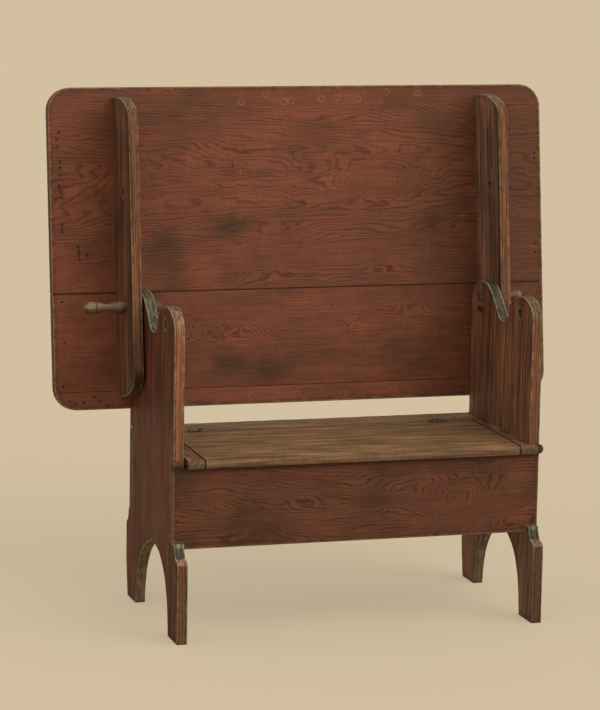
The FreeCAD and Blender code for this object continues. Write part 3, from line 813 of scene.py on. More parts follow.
def figure_group(name):
    """Grain of solid wood.

    The growth rings are cylinders about a pith line beside the board, cut by its surface. Their
    radius is stirred by a slow stretched noise, which makes flames, and by two finer ones, which
    make the lines wander. Each ring darkens to a thin late line of its own strength.
    """
    inputs = {"Place": (0.0, 0.0, 0.0), **FIGURE, "Lift": 0.0, "Seed": 0.0}
    web, given, made = shader_group(name, inputs, ("Line", "Fibre", "Saw", "Cloud", "Patch", "Height"))
    place, seed, width = given["Place"], given["Seed"], given["Ring Width"]
    shifted = web.vector("ADD", place, web.join(seed, seed, seed))

    def stirred(noise, reach):
        return web.times(web.minus(noise, 0.5), reach)

    spread = web.vector("MULTIPLY", shifted, given["Flame Scale"])
    slow = {"Vector": spread, "Scale": 1.0, "Detail": 1.8, "Roughness": 0.45}
    flame = stirred(web.add("ShaderNodeTexNoise", slow).outputs[0], web.times(given["Flame"], 2.0))
    wander = web.times(width, given["Wander"])
    wave = stirred(web.noise(shifted, (15.0, 36.0, 36.0), 1.0, 0.5, 4.0), web.times(wander, 1.7))
    shake = stirred(web.noise(shifted, (60.0, 200.0, 200.0), 1.0, 0.5, 7.0), web.times(wander, 0.45))

    part, pith = web.split(place), web.split(given["Pith"])
    across = web.minus(part[1], pith[1])
    deep = web.plus(web.minus(part[2], pith[2]), web.times(given["Taper"], part[0]))
    radius = web.math("SQRT", web.plus(web.times(across, across), web.times(deep, deep)))
    total = web.plus(web.plus(radius, flame), web.plus(wave, shake), given["Lift"])
    phase = web.math("DIVIDE", total, width)
    share = web.math("FRACT", phase)
    late = web.times(web.span(share, 0.46, 0.84), web.span(share, 0.91, 1.0, 1.0, 0.0))
    ring_number = {"W": web.math("FLOOR", phase)}
    white = web.add("ShaderNodeTexWhiteNoise", ring_number, noise_dimensions="1D").outputs["Value"]

    combed = web.vector("MULTIPLY", shifted, given["Fibre Scale"])
    fibre = web.span(web.noise(combed, (13.0, 380.0, 380.0), 3.0, 0.62, 9.0), 0.34, 0.66)
    drawn = web.vector("MULTIPLY", shifted, web.join(web.split(given["Fibre Scale"])[0], 1.0, 1.0))
    broken = web.span(web.noise(drawn, (26.0, 120.0, 120.0), 2.0, 0.5, 12.0), 0.32, 0.58, 0.6, 1.0)
    strength = web.times(web.plus(web.times(white, 0.4), 0.6), broken)
    line = web.times(late, web.times(strength, web.plus(web.times(fibre, -0.4), 1.2)))
    web.feed(made, {
        "Line": line,
        "Fibre": fibre,
        "Saw": web.span(web.noise(shifted, (330.0, 28.0, 28.0), 2.0, 0.6, 2.0), 0.34, 0.66),
        "Cloud": web.noise(shifted, (8.0, 10.0, 10.0), 3.5, 0.6, 17.0),
        "Patch": web.span(web.noise(shifted, (14.0, 30.0, 30.0), 3.0, 0.6, 31.0), 0.3, 0.7),
        "Height": web.minus(web.times(fibre, 0.6), web.times(line, 0.8)),
    })
    return web.tree


def eye_group(name):
    """Oval bump around a centre, with a stirred outline: height times exp(-distance squared)."""
    inputs = {"Place": (0.0, 0.0, 0.0), "Centre": (0.0, 0.0, 0.0), "Size": (0.05, 0.03, 1.0), "Height": 0.0}
    web, given, made = shader_group(name, inputs, ("Lift",))
    noise = web.add("ShaderNodeTexNoise", {"Vector": given["Place"], "Scale": 26.0, "Detail": 1.0})
    stir = web.vector("SUBTRACT", noise.outputs["Color"], (0.5, 0.5, 0.5))
    moved = web.vector("ADD", given["Place"], web.vector("MULTIPLY", stir, (0.03, 0.016, 0.0)))
    away = web.vector("SUBTRACT", web.vector("MULTIPLY", moved, (1.0, 1.0, 0.0)), given["Centre"])
    away = web.vector("DIVIDE", away, given["Size"])
    square = web.vector("DOT_PRODUCT", away, away, output="Value")
    web.feed(made, {"Lift": web.times(web.math("EXPONENT", web.times(square, -1.0)), given["Height"])})
    return web.tree


def wear_group(name):
    """Masks of use and painted light: rubbed arrises, ragged by noise, which also paint highlights, dirt and
    painted shade behind them, and the rims of plugs and pits.
    """
    inputs = {
        "Place": (0.0, 0.0, 0.0), "Rim": 0.1, "Width": 0.003, "Joint": FAR, "Joint Width": 0.004,
        "Plug": FAR, "Pit": FAR, "Scratch": FAR,
    }
    web, given, made = shader_group(name, inputs, ("Worn", "Dirt", "Pale", "Dark"))
    rim, width, plug = given["Rim"], given["Width"], given["Plug"]
    ragged = web.noise(given["Place"], (60.0, 110.0, 110.0), 3.0, 0.6, 5.0)
    torn = web.times(web.minus(ragged, 0.5), web.times(width, 2.6))
    broken = web.span(ragged, 0.36, 0.56, 0.25, 1.0)
    circle_mask = web.times(web.span(plug, 0.70, 0.86), web.span(plug, 1.0, 1.2, 1.0, 0.0))
    centre = web.times(web.span(plug, 0.1, 0.35, 0.8, 0.0), broken)
    scratch = web.span(given["Scratch"], 0.4, 1.0, 1.0, 0.0)
    ditch = web.times(web.span(plug, 0.45, 0.6), web.span(plug, 0.68, 0.8, 0.5, 0.0))
    pit = web.span(given["Pit"], 0.35, 1.0, 1.0, 0.0)
    near = web.math("DIVIDE", given["Joint"], given["Joint Width"])
    seam = web.span(web.plus(near, web.times(ragged, 0.5)), 0.35, 1.2, 1.0, 0.0)
    web.feed(made, {
        "Worn": web.span(web.plus(rim, torn), 0.0, width, 1.0, 0.0),
        "Dirt": web.times(web.span(rim, 0.0, web.times(width, 5.0), 1.0, 0.0), web.span(ragged, 0.35, 0.6)),
        "Pale": web.math("MAXIMUM", web.times(circle_mask, broken), web.math("MAXIMUM", centre, scratch)),
        "Dark": web.math("MAXIMUM", seam, web.math("MAXIMUM", ditch, pit)),
    })
    return web.tree


def wood(name, kind, seed, fields=True, lines=0.8, patches=0.6, side=0.8, end=0.8, worn=(0.3, 0.3),
         dirt=0.5, streaks=0.22, saw=0.12, mottle=0.25, gain=(1, 1, 1), inner_gain=None,
         side_gain=(1, 1, 1), arris=0.003, joint=0.004, rough=0.62, shade=None, bands=(), eyes=(),
         soiled=(), **figure):
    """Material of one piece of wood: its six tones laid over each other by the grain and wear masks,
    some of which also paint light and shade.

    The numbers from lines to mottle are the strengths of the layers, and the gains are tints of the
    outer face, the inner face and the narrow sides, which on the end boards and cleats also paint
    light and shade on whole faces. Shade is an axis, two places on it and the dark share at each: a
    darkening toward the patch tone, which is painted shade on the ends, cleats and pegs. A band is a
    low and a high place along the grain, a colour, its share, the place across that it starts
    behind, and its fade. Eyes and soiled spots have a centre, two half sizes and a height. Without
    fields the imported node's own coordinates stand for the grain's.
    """
    colours = bpy.context.scene.bench_woods
    tone = {key: tuple(getattr(colours, f"{kind}_{key}")) for key in TONES}
    material, web, shader = new_material(name)
    if fields:
        spot = web.field("grain", "Vector")
        rim, side_share, end_share, hole_share = (web.field(key) for key in ("rim", "side", "end", "hole"))
        marks = {key.capitalize(): web.field(key) for key in ("joint", *MARK_KINDS)}
    else:
        spot = web.add("ShaderNodeTexCoord").outputs["Object"]
        rim, side_share, end_share, hole_share, marks = 0.1, 0.0, 0.0, 0.0, {}

    def bumps(rows):
        total = 0.0
        for centre, size, height in rows:
            values = {"Place": spot, "Centre": (*centre, 0.0), "Size": (*size, 1.0), "Height": height}
            total = web.plus(total, web.group("wood_eye", eye_group, values)["Lift"])
        return total

    values = {**FIGURE, **figure, "Place": spot, "Seed": float(seed), "Lift": bumps(eyes)}
    out = web.group("wood_figure", figure_group, values)
    values = {"Place": spot, "Rim": rim, "Width": arris, "Joint Width": joint, **marks}
    mask = web.group("wood_wear", wear_group, values)
    part = web.split(spot)

    cloudy = web.times(web.span(out["Cloud"], 0.37, 0.71), patches)
    if soiled:
        uneven = web.span(out["Cloud"], 0.25, 0.65, 0.45, 1.15)
        cloudy = web.math("ADD", cloudy, web.times(bumps(soiled), uneven), clamp=True)
    base = web.mix(cloudy, tone["face"], tone["patch"])
    side_tone = web.mix(web.times(end_share, end), tone["side"], tone["end"])
    base = web.mix(web.times(side_share, side), base, side_tone)
    if shade:
        axis, *steps = shade
        depth = web.times(web.span(part[axis], *steps), web.minus(1.0, side_share))
        base = web.mix(depth, base, tone["patch"])
    height = web.plus(part[0], web.times(web.minus(out["Cloud"], 0.5), 0.012))
    for low, high, code, share, behind, fade in bands:
        band = web.times(web.span(height, low - fade, low), web.span(height, high, high + fade, 1.0, 0.0))
        band = web.times(band, web.math("GREATER_THAN", part[1], behind), side_share, share)
        base = web.mix(band, base, linear(code))

    speck = web.span(web.noise(spot, (300.0, 300.0, 300.0), 2.0, 0.6, 23.0), 0.36, 0.64, -0.5, 0.5)
    light = web.plus(
        web.times(out["Fibre"], streaks), web.times(out["Patch"], mottle), web.times(out["Saw"], saw),
        1.0 - (streaks + mottle + saw) / 2.0, web.times(speck, web.times(side_share, end_share)),
    )
    grey = web.add("ShaderNodeCombineColor", {0: light, 1: light, 2: light}).outputs[0]
    base = web.mix(1.0, base, grey, "MULTIPLY")
    if inner_gain:
        gain = web.mix(web.math("GREATER_THAN", part[2], INNER_DEPTH), gain, inner_gain)
    base = web.mix(1.0, base, web.mix(side_share, gain, side_gain), "MULTIPLY")
    layers = (
        (out["Line"], lines, tone["line"]),
        # Dirt and painted shade within five arris widths of every edge
        (mask["Dirt"], dirt, tone["line"]),
        # Pale rubbed arrises, which also paint highlights along the edges
        (mask["Worn"], web.span(end_share, 0.1, 0.7, *worn), tone["worn"]),
        (mask["Pale"], 0.5, linear("ab7050")),
        (mask["Dark"], 0.85, tuple(0.55 * value for value in tone["line"])),
        # Painted shade on the walls of the holes
        (hole_share, 0.7, linear("33241a")),
    )
    for share, strength, over in layers:
        base = web.mix(web.times(share, strength), base, over)
    dull = web.plus(rough - 0.08, web.times(out["Patch"], 0.16))
    web.feed(shader.inputs, {
        "Base Color": base,
        "Roughness": web.plus(web.times(out["Line"], 0.12), dull),
        "Normal": web.bump(out["Height"], 0.45, 0.0006),
        "Specular IOR Level": 0.22,
    })
    return material


def iron(name, dark, rust_tone, pale):
    """Forged iron gone brown: dark scale, rust in its hollows and paler spots, partly rubbed iron and partly
    painted highlights.
    """
    material, web, shader = new_material(name)
    place = web.add("ShaderNodeTexCoord").outputs["Object"]
    scale = web.noise(place, (260.0, 260.0, 260.0), 3.0, 0.6)
    rust = web.span(web.noise(place, (90.0, 90.0, 90.0), 3.0, 0.6, 3.0), 0.42, 0.62)
    base = web.mix(rust, linear(dark), linear(rust_tone))
    web.feed(shader.inputs, {
        "Base Color": web.mix(web.span(scale, 0.45, 0.7, 0.0, 0.6), base, linear(pale)),
        "Metallic": web.span(rust, 0.0, 1.0, 0.75, 0.15),
        "Roughness": web.span(scale, 0.0, 1.0, 0.45, 0.8),
        "Normal": web.bump(scale, 0.6, 0.0004),
    })
    return material


def finished(piece, body, material, node):
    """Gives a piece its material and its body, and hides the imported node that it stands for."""
    piece.data.materials.append(material)
    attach(piece, body)
    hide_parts(node)


def outer_face(node, side):
    """Place across and thickness of an upright board, from the face that looks away from the middle."""
    low, high = corners(node)
    return (high if side > 0 else low)[0], high[0] - low[0]


def dressed(names, material):
    """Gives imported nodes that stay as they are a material."""
    for name in names:
        mesh = frame["nodes"][name].data
        mesh.materials.clear()
        mesh.materials.append(material)


# Pieces

def end_outline(sizes, panel, wall, tail):
    """Outline of an end board, anticlockwise with Y across and Z up, from its own front edge.

    Panel is the depth of the housings, wall and tail are the heights of their lower and upper ends.
    """
    low, high = corners("end_left")
    depth = high[1] - low[1] - sizes.front_foot_out - sizes.rear_foot_out
    top = high[2]
    notch_z = top - sizes.notch_depth
    wall_z = notch_z + sizes.notch_rise
    reach = (sizes.rear_lobe_at - sizes.notch_at) / 2.0
    notch, rear = (sizes.notch_at, notch_z), (sizes.rear_lobe_at, top)
    cove_r, cove_f = sizes.rear_foot + sizes.cove, sizes.front_foot + sizes.cove
    out_r, out_f = depth + sizes.rear_foot_out, -sizes.front_foot_out
    ledge_r, ledge_f = depth + sizes.rear_ledge_out, -sizes.front_ledge_out
    toe = depth + sizes.rear_foot_taper
    inner_r, inner_f = toe - sizes.rear_foot_width, sizes.front_foot_width - sizes.front_foot_out
    middle, half = (inner_r + inner_f) / 2.0, (inner_r - inner_f) / 2.0
    arch = sizes.arch
    crown = (middle, arch)
    return ring(
        arc((0, top - sizes.front_lobe_fall), (0, top), (sizes.front_lobe_at, top)),
        arc((sizes.front_lobe_at, top), (sizes.front_lobe_back, top), (sizes.front_lobe_back, wall_z)),
        arc((sizes.front_lobe_back, wall_z), (sizes.front_lobe_back, notch_z), notch),
        bow(notch, (notch[0] + 0.6 * reach, notch_z), (rear[0] - 1.12 * reach, top), rear),
        arc(rear, (depth, top), (depth, top - sizes.rear_lobe_fall)),
        ((depth, tail), (depth - panel, tail), (depth - panel, wall), (depth, wall)),
        ((depth, sizes.rear_ledge), (ledge_r, sizes.rear_ledge)),
        arc((ledge_r, sizes.rear_ledge), (ledge_r, cove_r), (out_r - sizes.bead, cove_r)),
        ((out_r, sizes.rear_foot), (out_r, sizes.rear_taper), (toe, 0)),
        bow((inner_r, 0), (inner_r - 0.06 * half, 0.62 * arch), (middle + 0.55 * half, 0.88 * arch), crown),
        bow(crown, (middle - 0.52 * half, arch), (inner_f + 0.04 * half, 0.80 * arch), (inner_f, 0)),
        ((out_f, 0), (out_f, sizes.front_foot)),
        arc((out_f + sizes.bead, cove_f), (ledge_f, cove_f), (ledge_f, sizes.front_ledge)),
        ((0, sizes.front_ledge), (panel, sizes.front_ledge), (panel, tail), (0, tail)),
        step=0.007,
    )[::-1]


# Bands on the end boards' narrow sides: darker feet, an olive arch, painted shade in the cove, painted
# highlights on the bead and on the ledge, browner lobe tops and a dark notch.
END_BANDS = (
    (-1.0, 0.201, "5c3d26", 0.9, -1.0, 0.004),
    (0.02, 0.160, "7d654a", 0.8, 0.02, 0.03),
    (0.178, 0.198, "45463a", 0.85, -1.0, 0.004),
    (0.170, 0.176, "a57f5a", 0.7, -1.0, 0.004),
    (0.200, 0.206, "8e8566", 0.7, -1.0, 0.004),
    (0.655, 1.0, "8a6c4a", 0.75, -1.0, 0.02),
    (0.60, 1.0, "55523f", 0.9, 0.078, 0.03),
)
CLEAT_BANDS = ((-1.0, -0.15, "35251c", 0.85, -1.0, 0.03),)
STRIPED = {
    "patches": 0.4, "saw": 0.1, "mottle": 0.12, "arris": 0.0026,
    "Ring Width": 0.0048, "Wander": 0.4, "Fibre Scale": (0.3, 0.2, 0.6),
}
HOLE_RING = 0.0145


def build_ends(sizes):
    """Both end boards: each with two lobes, an arch, two holes and the housings for the panels."""
    panel_low, panel_high = corners("front_panel")
    shoulder = corners("seat_strip_rear")[0][2]
    wall, tail = sizes.rear_ledge, panel_high[2]
    front_edge = corners("end_left")[0][1] + sizes.front_foot_out
    outline = end_outline(sizes, panel_high[1] - panel_low[1], wall, tail)
    housed = (outline[:, 1] > wall + 0.001) & (outline[:, 1] < tail + 0.0005)
    inner = outline.copy()
    inner[housed, 1] = wall + (outline[housed, 1] - wall) * (shoulder - wall) / (tail - wall)
    pivot_y = PIVOT[1] - front_edge
    places = [(pivot_y, PIVOT[2]), (pivot_y - sizes.hole_spacing, PIVOT[2])]
    holes = [hole(place, sizes.hole_radius) for place in places]
    rings = [(*place, HOLE_RING, HOLE_RING, PLUG) for place in places]
    rubbed = [
        (pivot_y, PIVOT[2] - 0.0155, 0.03, 0.0045, SCRATCH), (pivot_y, PIVOT[2] - 0.027, 0.03, 0.010, PIT),
    ]
    recipes = {
        "left": (12, rings, {"side_gain": (1.06, 1.08, 1.14)}),
        # The right board's inner gain is painted light: it brightens the inner face against the shade it gets
        # between the ends.
        "right": (11, rings[1:] + rubbed, {"side_gain": (0.76, 0.78, 0.8), "inner_gain": (1.17, 1.60, 2.25)}),
    }
    for name, (seed, back_marks, gains) in recipes.items():
        side = SIDES[name]
        outer, thickness = outer_face("end_" + name, side)
        place = (np.array((outer, front_edge, 0.0)), Y_AXIS, Z_AXIS, -side * X_AXIS)
        piece = flat_board(
            "end_board_" + name, [outline] + holes, thickness, place, 1,
            bpy.context.scene.bench_wear.arris, inner=[inner] + holes, marks=rings,
            back_marks=back_marks, seed=seed,
        )
        figure = {**STRIPED, "Pith": (0.0, -0.10, -0.5), "Flame": 0.009, "Flame Scale": (1.6, 14.0, 14.0)}
        # Shade paints shade on the faces near the front edge.
        finish = wood(
            "end_wood_" + name, "end", 40 + side, lines=0.78, end=0.92, side=0.9, streaks=0.85,
            worn=(0.16, 0.6), shade=(1, 0.0, 0.05, 0.45, 0.0), bands=END_BANDS,
            # The face gain darkens both faces against the narrow sides: a darker wood and painted shade on
            # faces turned from the light.
            gain=(0.54, 0.40, 0.28), **gains, **figure,
        )
        finished(piece, "base", finish, "end_" + name)


def panel_outline(low, high, shoulder, wall, ledge):
    """Panel between the ends, whose tails run up in a slope to the outer faces."""
    half = (high[0] - low[0]) / 2.0
    inner = half - wall
    z0, tail = low[2], high[2]
    right = ((inner, z0), (inner, ledge), (half, ledge), (half, tail), (inner, shoulder))
    left = tuple((-x, z) for x, z in right[::-1])
    return ring(right, left, step=0.008, corner=0.0008)


def build_panels(ends):
    """Front and back panel of the seat box."""
    wall = outer_face("end_left", SIDES["left"])[1]
    shoulder = corners("seat_strip_rear")[0][2]
    front_eyes = (
        ((0.231, 0.249), (0.07, 0.05), 0.052), ((-0.09, 0.252), (0.11, 0.035), 0.026),
        ((0.03, 0.30), (0.08, 0.02), 0.012),
    )
    back_eyes = (((-0.1, 0.27), (0.1, 0.03), 0.02),)
    recipes = {
        "front_panel": (1.0, ends.front_ledge, 21, front_eyes),
        "back_panel": (-1.0, ends.rear_ledge, 23, back_eyes),
    }
    for name, (way, ledge, seed, eyes) in recipes.items():
        low, high = corners(name)
        face = low[1] if way > 0 else high[1]
        origin = np.array(((low[0] + high[0]) / 2.0, face, 0.0))
        outline = panel_outline(low, high, shoulder, wall, ledge)
        place = (origin, X_AXIS, Z_AXIS, way * Y_AXIS)
        piece = flat_board(
            name + "_board", [outline], high[1] - low[1], place, 0, 0.0009, seed=seed,
            # A joint at the shoulder: the dark joint and, below it, painted shadow under the seat's edge.
            joints=[(1, shoulder, 1.0)],
        )
        figure = {"Ring Width": 0.0035, "Pith": (0.0, 0.12, -0.25), "Flame": 0.022}
        finish = wood(
            name + "_wood", "red", seed, lines=1.0, patches=0.85, side=0.5, gain=(0.58, 0.57, 0.54),
            # The wide joint band is painted shadow under the seat's edge.
            joint=0.014, eyes=eyes, **figure,
        )
        finished(piece, "base", finish, name)


def build_box():
    """Bottom boards, cleats and battens, which show when the lid is up."""
    names = ["bottom_board_front", "bottom_board_rear"]
    names += [f"{kind}_{side}" for kind in ("bottom_cleat", "seat_cleat", "lid_batten") for side in SIDES]
    for number, name in enumerate(names):
        piece = plank(name, 0 if "board" in name else 1, 30 + number)
        finish = wood(name + "_wood", "inner", 50 + number, patches=0.4, rough=0.75, Flame=0.012)
        finished(piece, "lid" if "lid" in name else "base", finish, name)


def build_seat(sizes):
    """Lid and the three fixed strips, with a half round nosing along the front."""
    long_board = {
        "patches": 0.4, "mottle": 0.12, "lines": 0.42, "joint": 0.006, "streaks": 0.75, "saw": 0.2,
        "Ring Width": 0.020, "Pith": (0.0, -0.3, -0.15), "Flame Scale": (2.6, 12.0, 12.0),
        "Flame": 0.02, "Wander": 0.25, "Fibre Scale": (0.55, 0.2, 0.5),
    }
    short_board = {"patches": 0.9, "side": 0.9, "streaks": 0.9, "Flame": 0.005}
    strip_low, strip_high = corners("seat_strip_left")
    edge = strip_low[1] + sizes.nosing
    middle = (corners("hinge_pin_left")[0][0] + corners("hinge_pin_right")[1][0]) / 2.0
    half = sizes.hinge_length / 2.0
    hinges = [middle + way * sizes.hinge_offset for way in SIDES.values()]
    gains = [(hinge - half, hinge + half) for hinge in hinges]

    def nosed(node, place, inset, rears, turns, seed, recipe):
        """Builds a nosed board over a node and gives it the seat's wood."""
        lid = node == "lid_board"
        stations = np.stack((place, np.full(len(place), edge), np.zeros(len(place))), 1)
        profile = nosed_profile(strip_high[2], corners(node)[0][2], -sizes.nosing)
        piece = nosed_board(node + "_wood", stations, rears, profile, turns, 0 if lid else 1, seed, inset)
        finish = wood("lid_wood" if lid else node[5:] + "_wood", "seat", seed, **recipe)
        finished(piece, "lid" if lid else "base", finish, node)

    low, high = corners("lid_board")
    place, inset, cut = stepped(low[0], high[0], gains)
    rears = high[1] - edge - np.where(cut, sizes.hinge_gain, 0.0)
    nosed("lid_board", place, inset, rears, place * 0.0, 61, long_board)

    place, inset, _ = stepped(strip_low[0], strip_high[0], ())
    nosed("seat_strip_left", place, inset, place * 0.0 + strip_high[1] - edge, place * 0.0, 62, short_board)

    low, high = corners("seat_strip_right")
    inner = corners("end_right")[0][0]
    turn_x = high[0] - sizes.nosing
    place, inset, _ = stepped(low[0], inner, (), step=0.006)
    ear = np.linspace(inner + STEEP, turn_x, 5)
    bend = np.linspace(0.0, 90.0, 9)[1:]
    place = np.concatenate((place[:-4], (inner - STEEP,), ear, bend * 0.0 + turn_x))
    inset = np.concatenate((inset[:-4], np.zeros(len(place) - len(inset) + 4)))
    turns = np.concatenate((np.zeros(len(place) - len(bend)), bend))
    rears = np.where(place < inner, high[1] - edge, 0.0)
    nosed("seat_strip_right", place, inset, rears, turns, 63, short_board)

    low, high = corners("seat_strip_rear")
    front = low[1]
    steps = [
        ((start, front), (start, front + sizes.hinge_gain), (end, front + sizes.hinge_gain), (end, front))
        for start, end in gains
    ]
    back = ((high[0], front), (high[0], high[1]), (low[0], high[1]))
    outline = ring(((low[0], front),), *steps, back, step=0.009, corner=0.0006)
    plane = (np.array((0.0, 0.0, high[2])), X_AXIS, Y_AXIS, -Z_AXIS)
    rear = flat_board(
        "seat_strip_rear_wood", [outline], high[2] - low[2], plane, 0, 0.0026, seed=64,
        joints=[(1, front, 1.0), (0, low[0], 1.0), (0, high[0], 1.0)],
    )
    finish = wood("strip_rear_wood", "seat", 64, side=0.5, **long_board)
    finished(rear, "base", finish, "seat_strip_rear")


TOP_MARKS = {
    "top_board_wide": {
        "plugs": (
            (-0.133, 0.439), (-0.078, 0.456), (-0.035, 0.438), (-0.019, 0.440), (0.052, 0.444),
            (0.087, 0.447), (0.136, 0.443), (0.203, 0.458), (0.274, 0.455),
        ),
        "dents": (
            (-0.541, 0.376), (-0.547, 0.362), (-0.545, 0.346), (-0.540, 0.313), (-0.540, 0.301),
            (-0.540, 0.284), (-0.543, 0.262), (-0.540, 0.249), (-0.538, 0.236), (-0.539, 0.178),
            (-0.537, 0.163), (-0.505, 0.130), (-0.502, 0.102), (-0.484, 0.110), (0.549, 0.318),
            (0.549, 0.306), (0.546, 0.115), (0.547, 0.095),
        ),
        "slots": (
            (-0.5395, 0.170, 0.0024, 0.013), (-0.5035, 0.116, 0.0028, 0.018),
            (-0.486, 0.112, 0.0020, 0.006), (-0.144, 0.128, 0.011, 0.0018),
            (-0.156, 0.300, 0.0020, 0.011),
        ),
        "scratches": (
            (0.381, 0.394, 0.011, 0.0016), (0.365, 0.298, 0.012, 0.0014), (0.375, 0.180, 0.012, 0.0014),
            (-0.323, 0.162, 0.013, 0.0011), (0.372, 0.158, 0.004, 0.0012), (-0.137, 0.286, 0.0012, 0.010),
        ),
    },
    "top_board_middle": {
        "plugs": (),
        "dents": ((-0.543, 0.012), (-0.539, -0.076), (-0.544, -0.171)),
        "slots": (),
        "scratches": ((0.377, -0.078, 0.005, 0.0014), (0.310, -0.071, 0.003, 0.0014)),
    },
    "top_board_lower": {
        "plugs": ((-0.124, -0.206), (-0.021, -0.205), (0.087, -0.209), (0.207, -0.200)),
        "dents": (
            (-0.531, -0.204), (-0.518, -0.209), (-0.498, -0.207), (-0.465, -0.205), (-0.447, -0.214),
            (-0.477, -0.195),
        ),
        "slots": (),
        "scratches": (),
    },
}
TOP_FIGURES = {
    "top_board_wide": {
        "Pith": (0.0, 0.26, -0.34),
        "eyes": (
            ((-0.33, 0.27), (0.10, 0.03), 0.012), ((-0.13, 0.262), (0.14, 0.03), 0.015),
            ((0.174, 0.264), (0.05, 0.022), 0.022), ((0.18, 0.268), (0.14, 0.045), 0.020),
            ((-0.05, 0.08), (0.12, 0.03), 0.013), ((0.2, 0.09), (0.10, 0.025), 0.012),
        ),
        "soiled": (
            ((-0.315, 0.11), (0.045, 0.10), 0.55), ((-0.159, 0.172), (0.055, 0.035), 0.8),
            ((-0.46, 0.37), (0.04, 0.05), 0.4), ((-0.30, 0.43), (0.08, 0.035), 0.45),
            ((0.285, 0.175), (0.045, 0.035), 0.75), ((0.309, 0.375), (0.07, 0.024), 0.45),
            ((0.209, 0.433), (0.03, 0.025), 0.5), ((0.09, 0.177), (0.05, 0.03), 0.4),
        ),
    },
    "top_board_middle": {
        "Pith": (0.0, 0.12, -0.25),
        "eyes": (
            ((-0.20, -0.03), (0.12, 0.04), 0.032), ((0.04, -0.187), (0.024, 0.013), 0.012),
            ((0.12, -0.02), (0.07, 0.03), 0.02), ((0.26, 0.0), (0.06, 0.03), 0.02),
        ),
        "soiled": (
            ((-0.19, -0.14), (0.07, 0.035), 0.5), ((-0.08, -0.15), (0.05, 0.03), 0.45),
            ((0.22, -0.12), (0.10, 0.03), 0.4),
        ),
    },
    "top_board_lower": {"Pith": (0.0, 0.1, -0.25)},
}


def clipped(loop, low, high):
    """Part of the whole top's outline between two heights: crossings are found on each straight side."""
    after = np.roll(loop, -1, 0)
    pieces = [loop]
    for level in (low, high):
        crosses = (loop[:, 1] - level) * (after[:, 1] - level) < 0.0
        share = (level - loop[crosses, 1]) / (after[crosses, 1] - loop[crosses, 1])
        pieces.append(loop[crosses] + (after[crosses] - loop[crosses]) * share[:, None])
    points = np.concatenate(pieces)
    points = points[(points[:, 1] >= low - 1e-7) & (points[:, 1] <= high + 1e-7)]
    centre = points.mean(0)
    return ring(points[np.argsort(np.arctan2(*(points - centre).T[::-1]))], step=0.009)


def build_top(sizes):
    """The three boards of the top, which share one round cornered outline."""
    left, right = (corner[0] for corner in corners("top_board_wide"))
    bottom, top, radius = -sizes.below, sizes.above, sizes.corner
    full = without_doubles(np.concatenate((
        arc((left, bottom + radius), (left, bottom), (left + radius, bottom)),
        arc((right - radius, bottom), (right, bottom), (right, bottom + radius)),
        arc((right, top - radius), (right, top), (right - radius, top)),
        arc((left + radius, top), (left, top), (left, top - radius)),
    )))
    whole = ring(full, step=0.02)
    seam = sizes.lower_strip - sizes.below
    gap = sizes.seam / 2.0
    heights = {
        "top_board_wide": (sizes.upper_seam + gap, top, 71, 1.0),
        "top_board_middle": (seam + gap, sizes.upper_seam - gap, 72, 1.0),
        "top_board_lower": (bottom, seam - gap, 73, 1.18),
    }
    place = (PIVOT * (0, 1, 1) + DEEP * sizes.behind, X_AXIS, UP, DEEP)
    for name, (low, high, seed, bright) in heights.items():
        given = TOP_MARKS[name]
        marks = [(*spot, 0.0068, 0.0068, PLUG) for spot in given["plugs"]]
        marks += [(*spot, 0.0042, 0.0046, PIT) for spot in given["dents"]]
        marks += [(*cut, PIT) for cut in given["slots"]]
        marks += [(*cut, SCRATCH) for cut in given["scratches"]]
        piece = flat_board(
            name + "_wood", [clipped(full, low, high)], sizes.thickness, place, 0, 0.0013,
            marks=marks, dent=0.0012, seed=seed, rim_loops=[whole],
            joints=[(1, sizes.upper_seam, 1.0), (1, seam, 2.6)],
        )
        finish = wood(
            name + "_wood", "red", seed, lines=0.62, patches=0.45, side=0.9, end=0.95,
            worn=(0.5, 0.1), dirt=0.6, joint=0.003, shade=(0, 0.10, 0.55, 0.0, 0.5),
            gain=(0.93 * bright, 0.87 * bright, 0.88 * bright), Flame=0.0115, **TOP_FIGURES[name],
        )
        finished(piece, "top", finish, name)


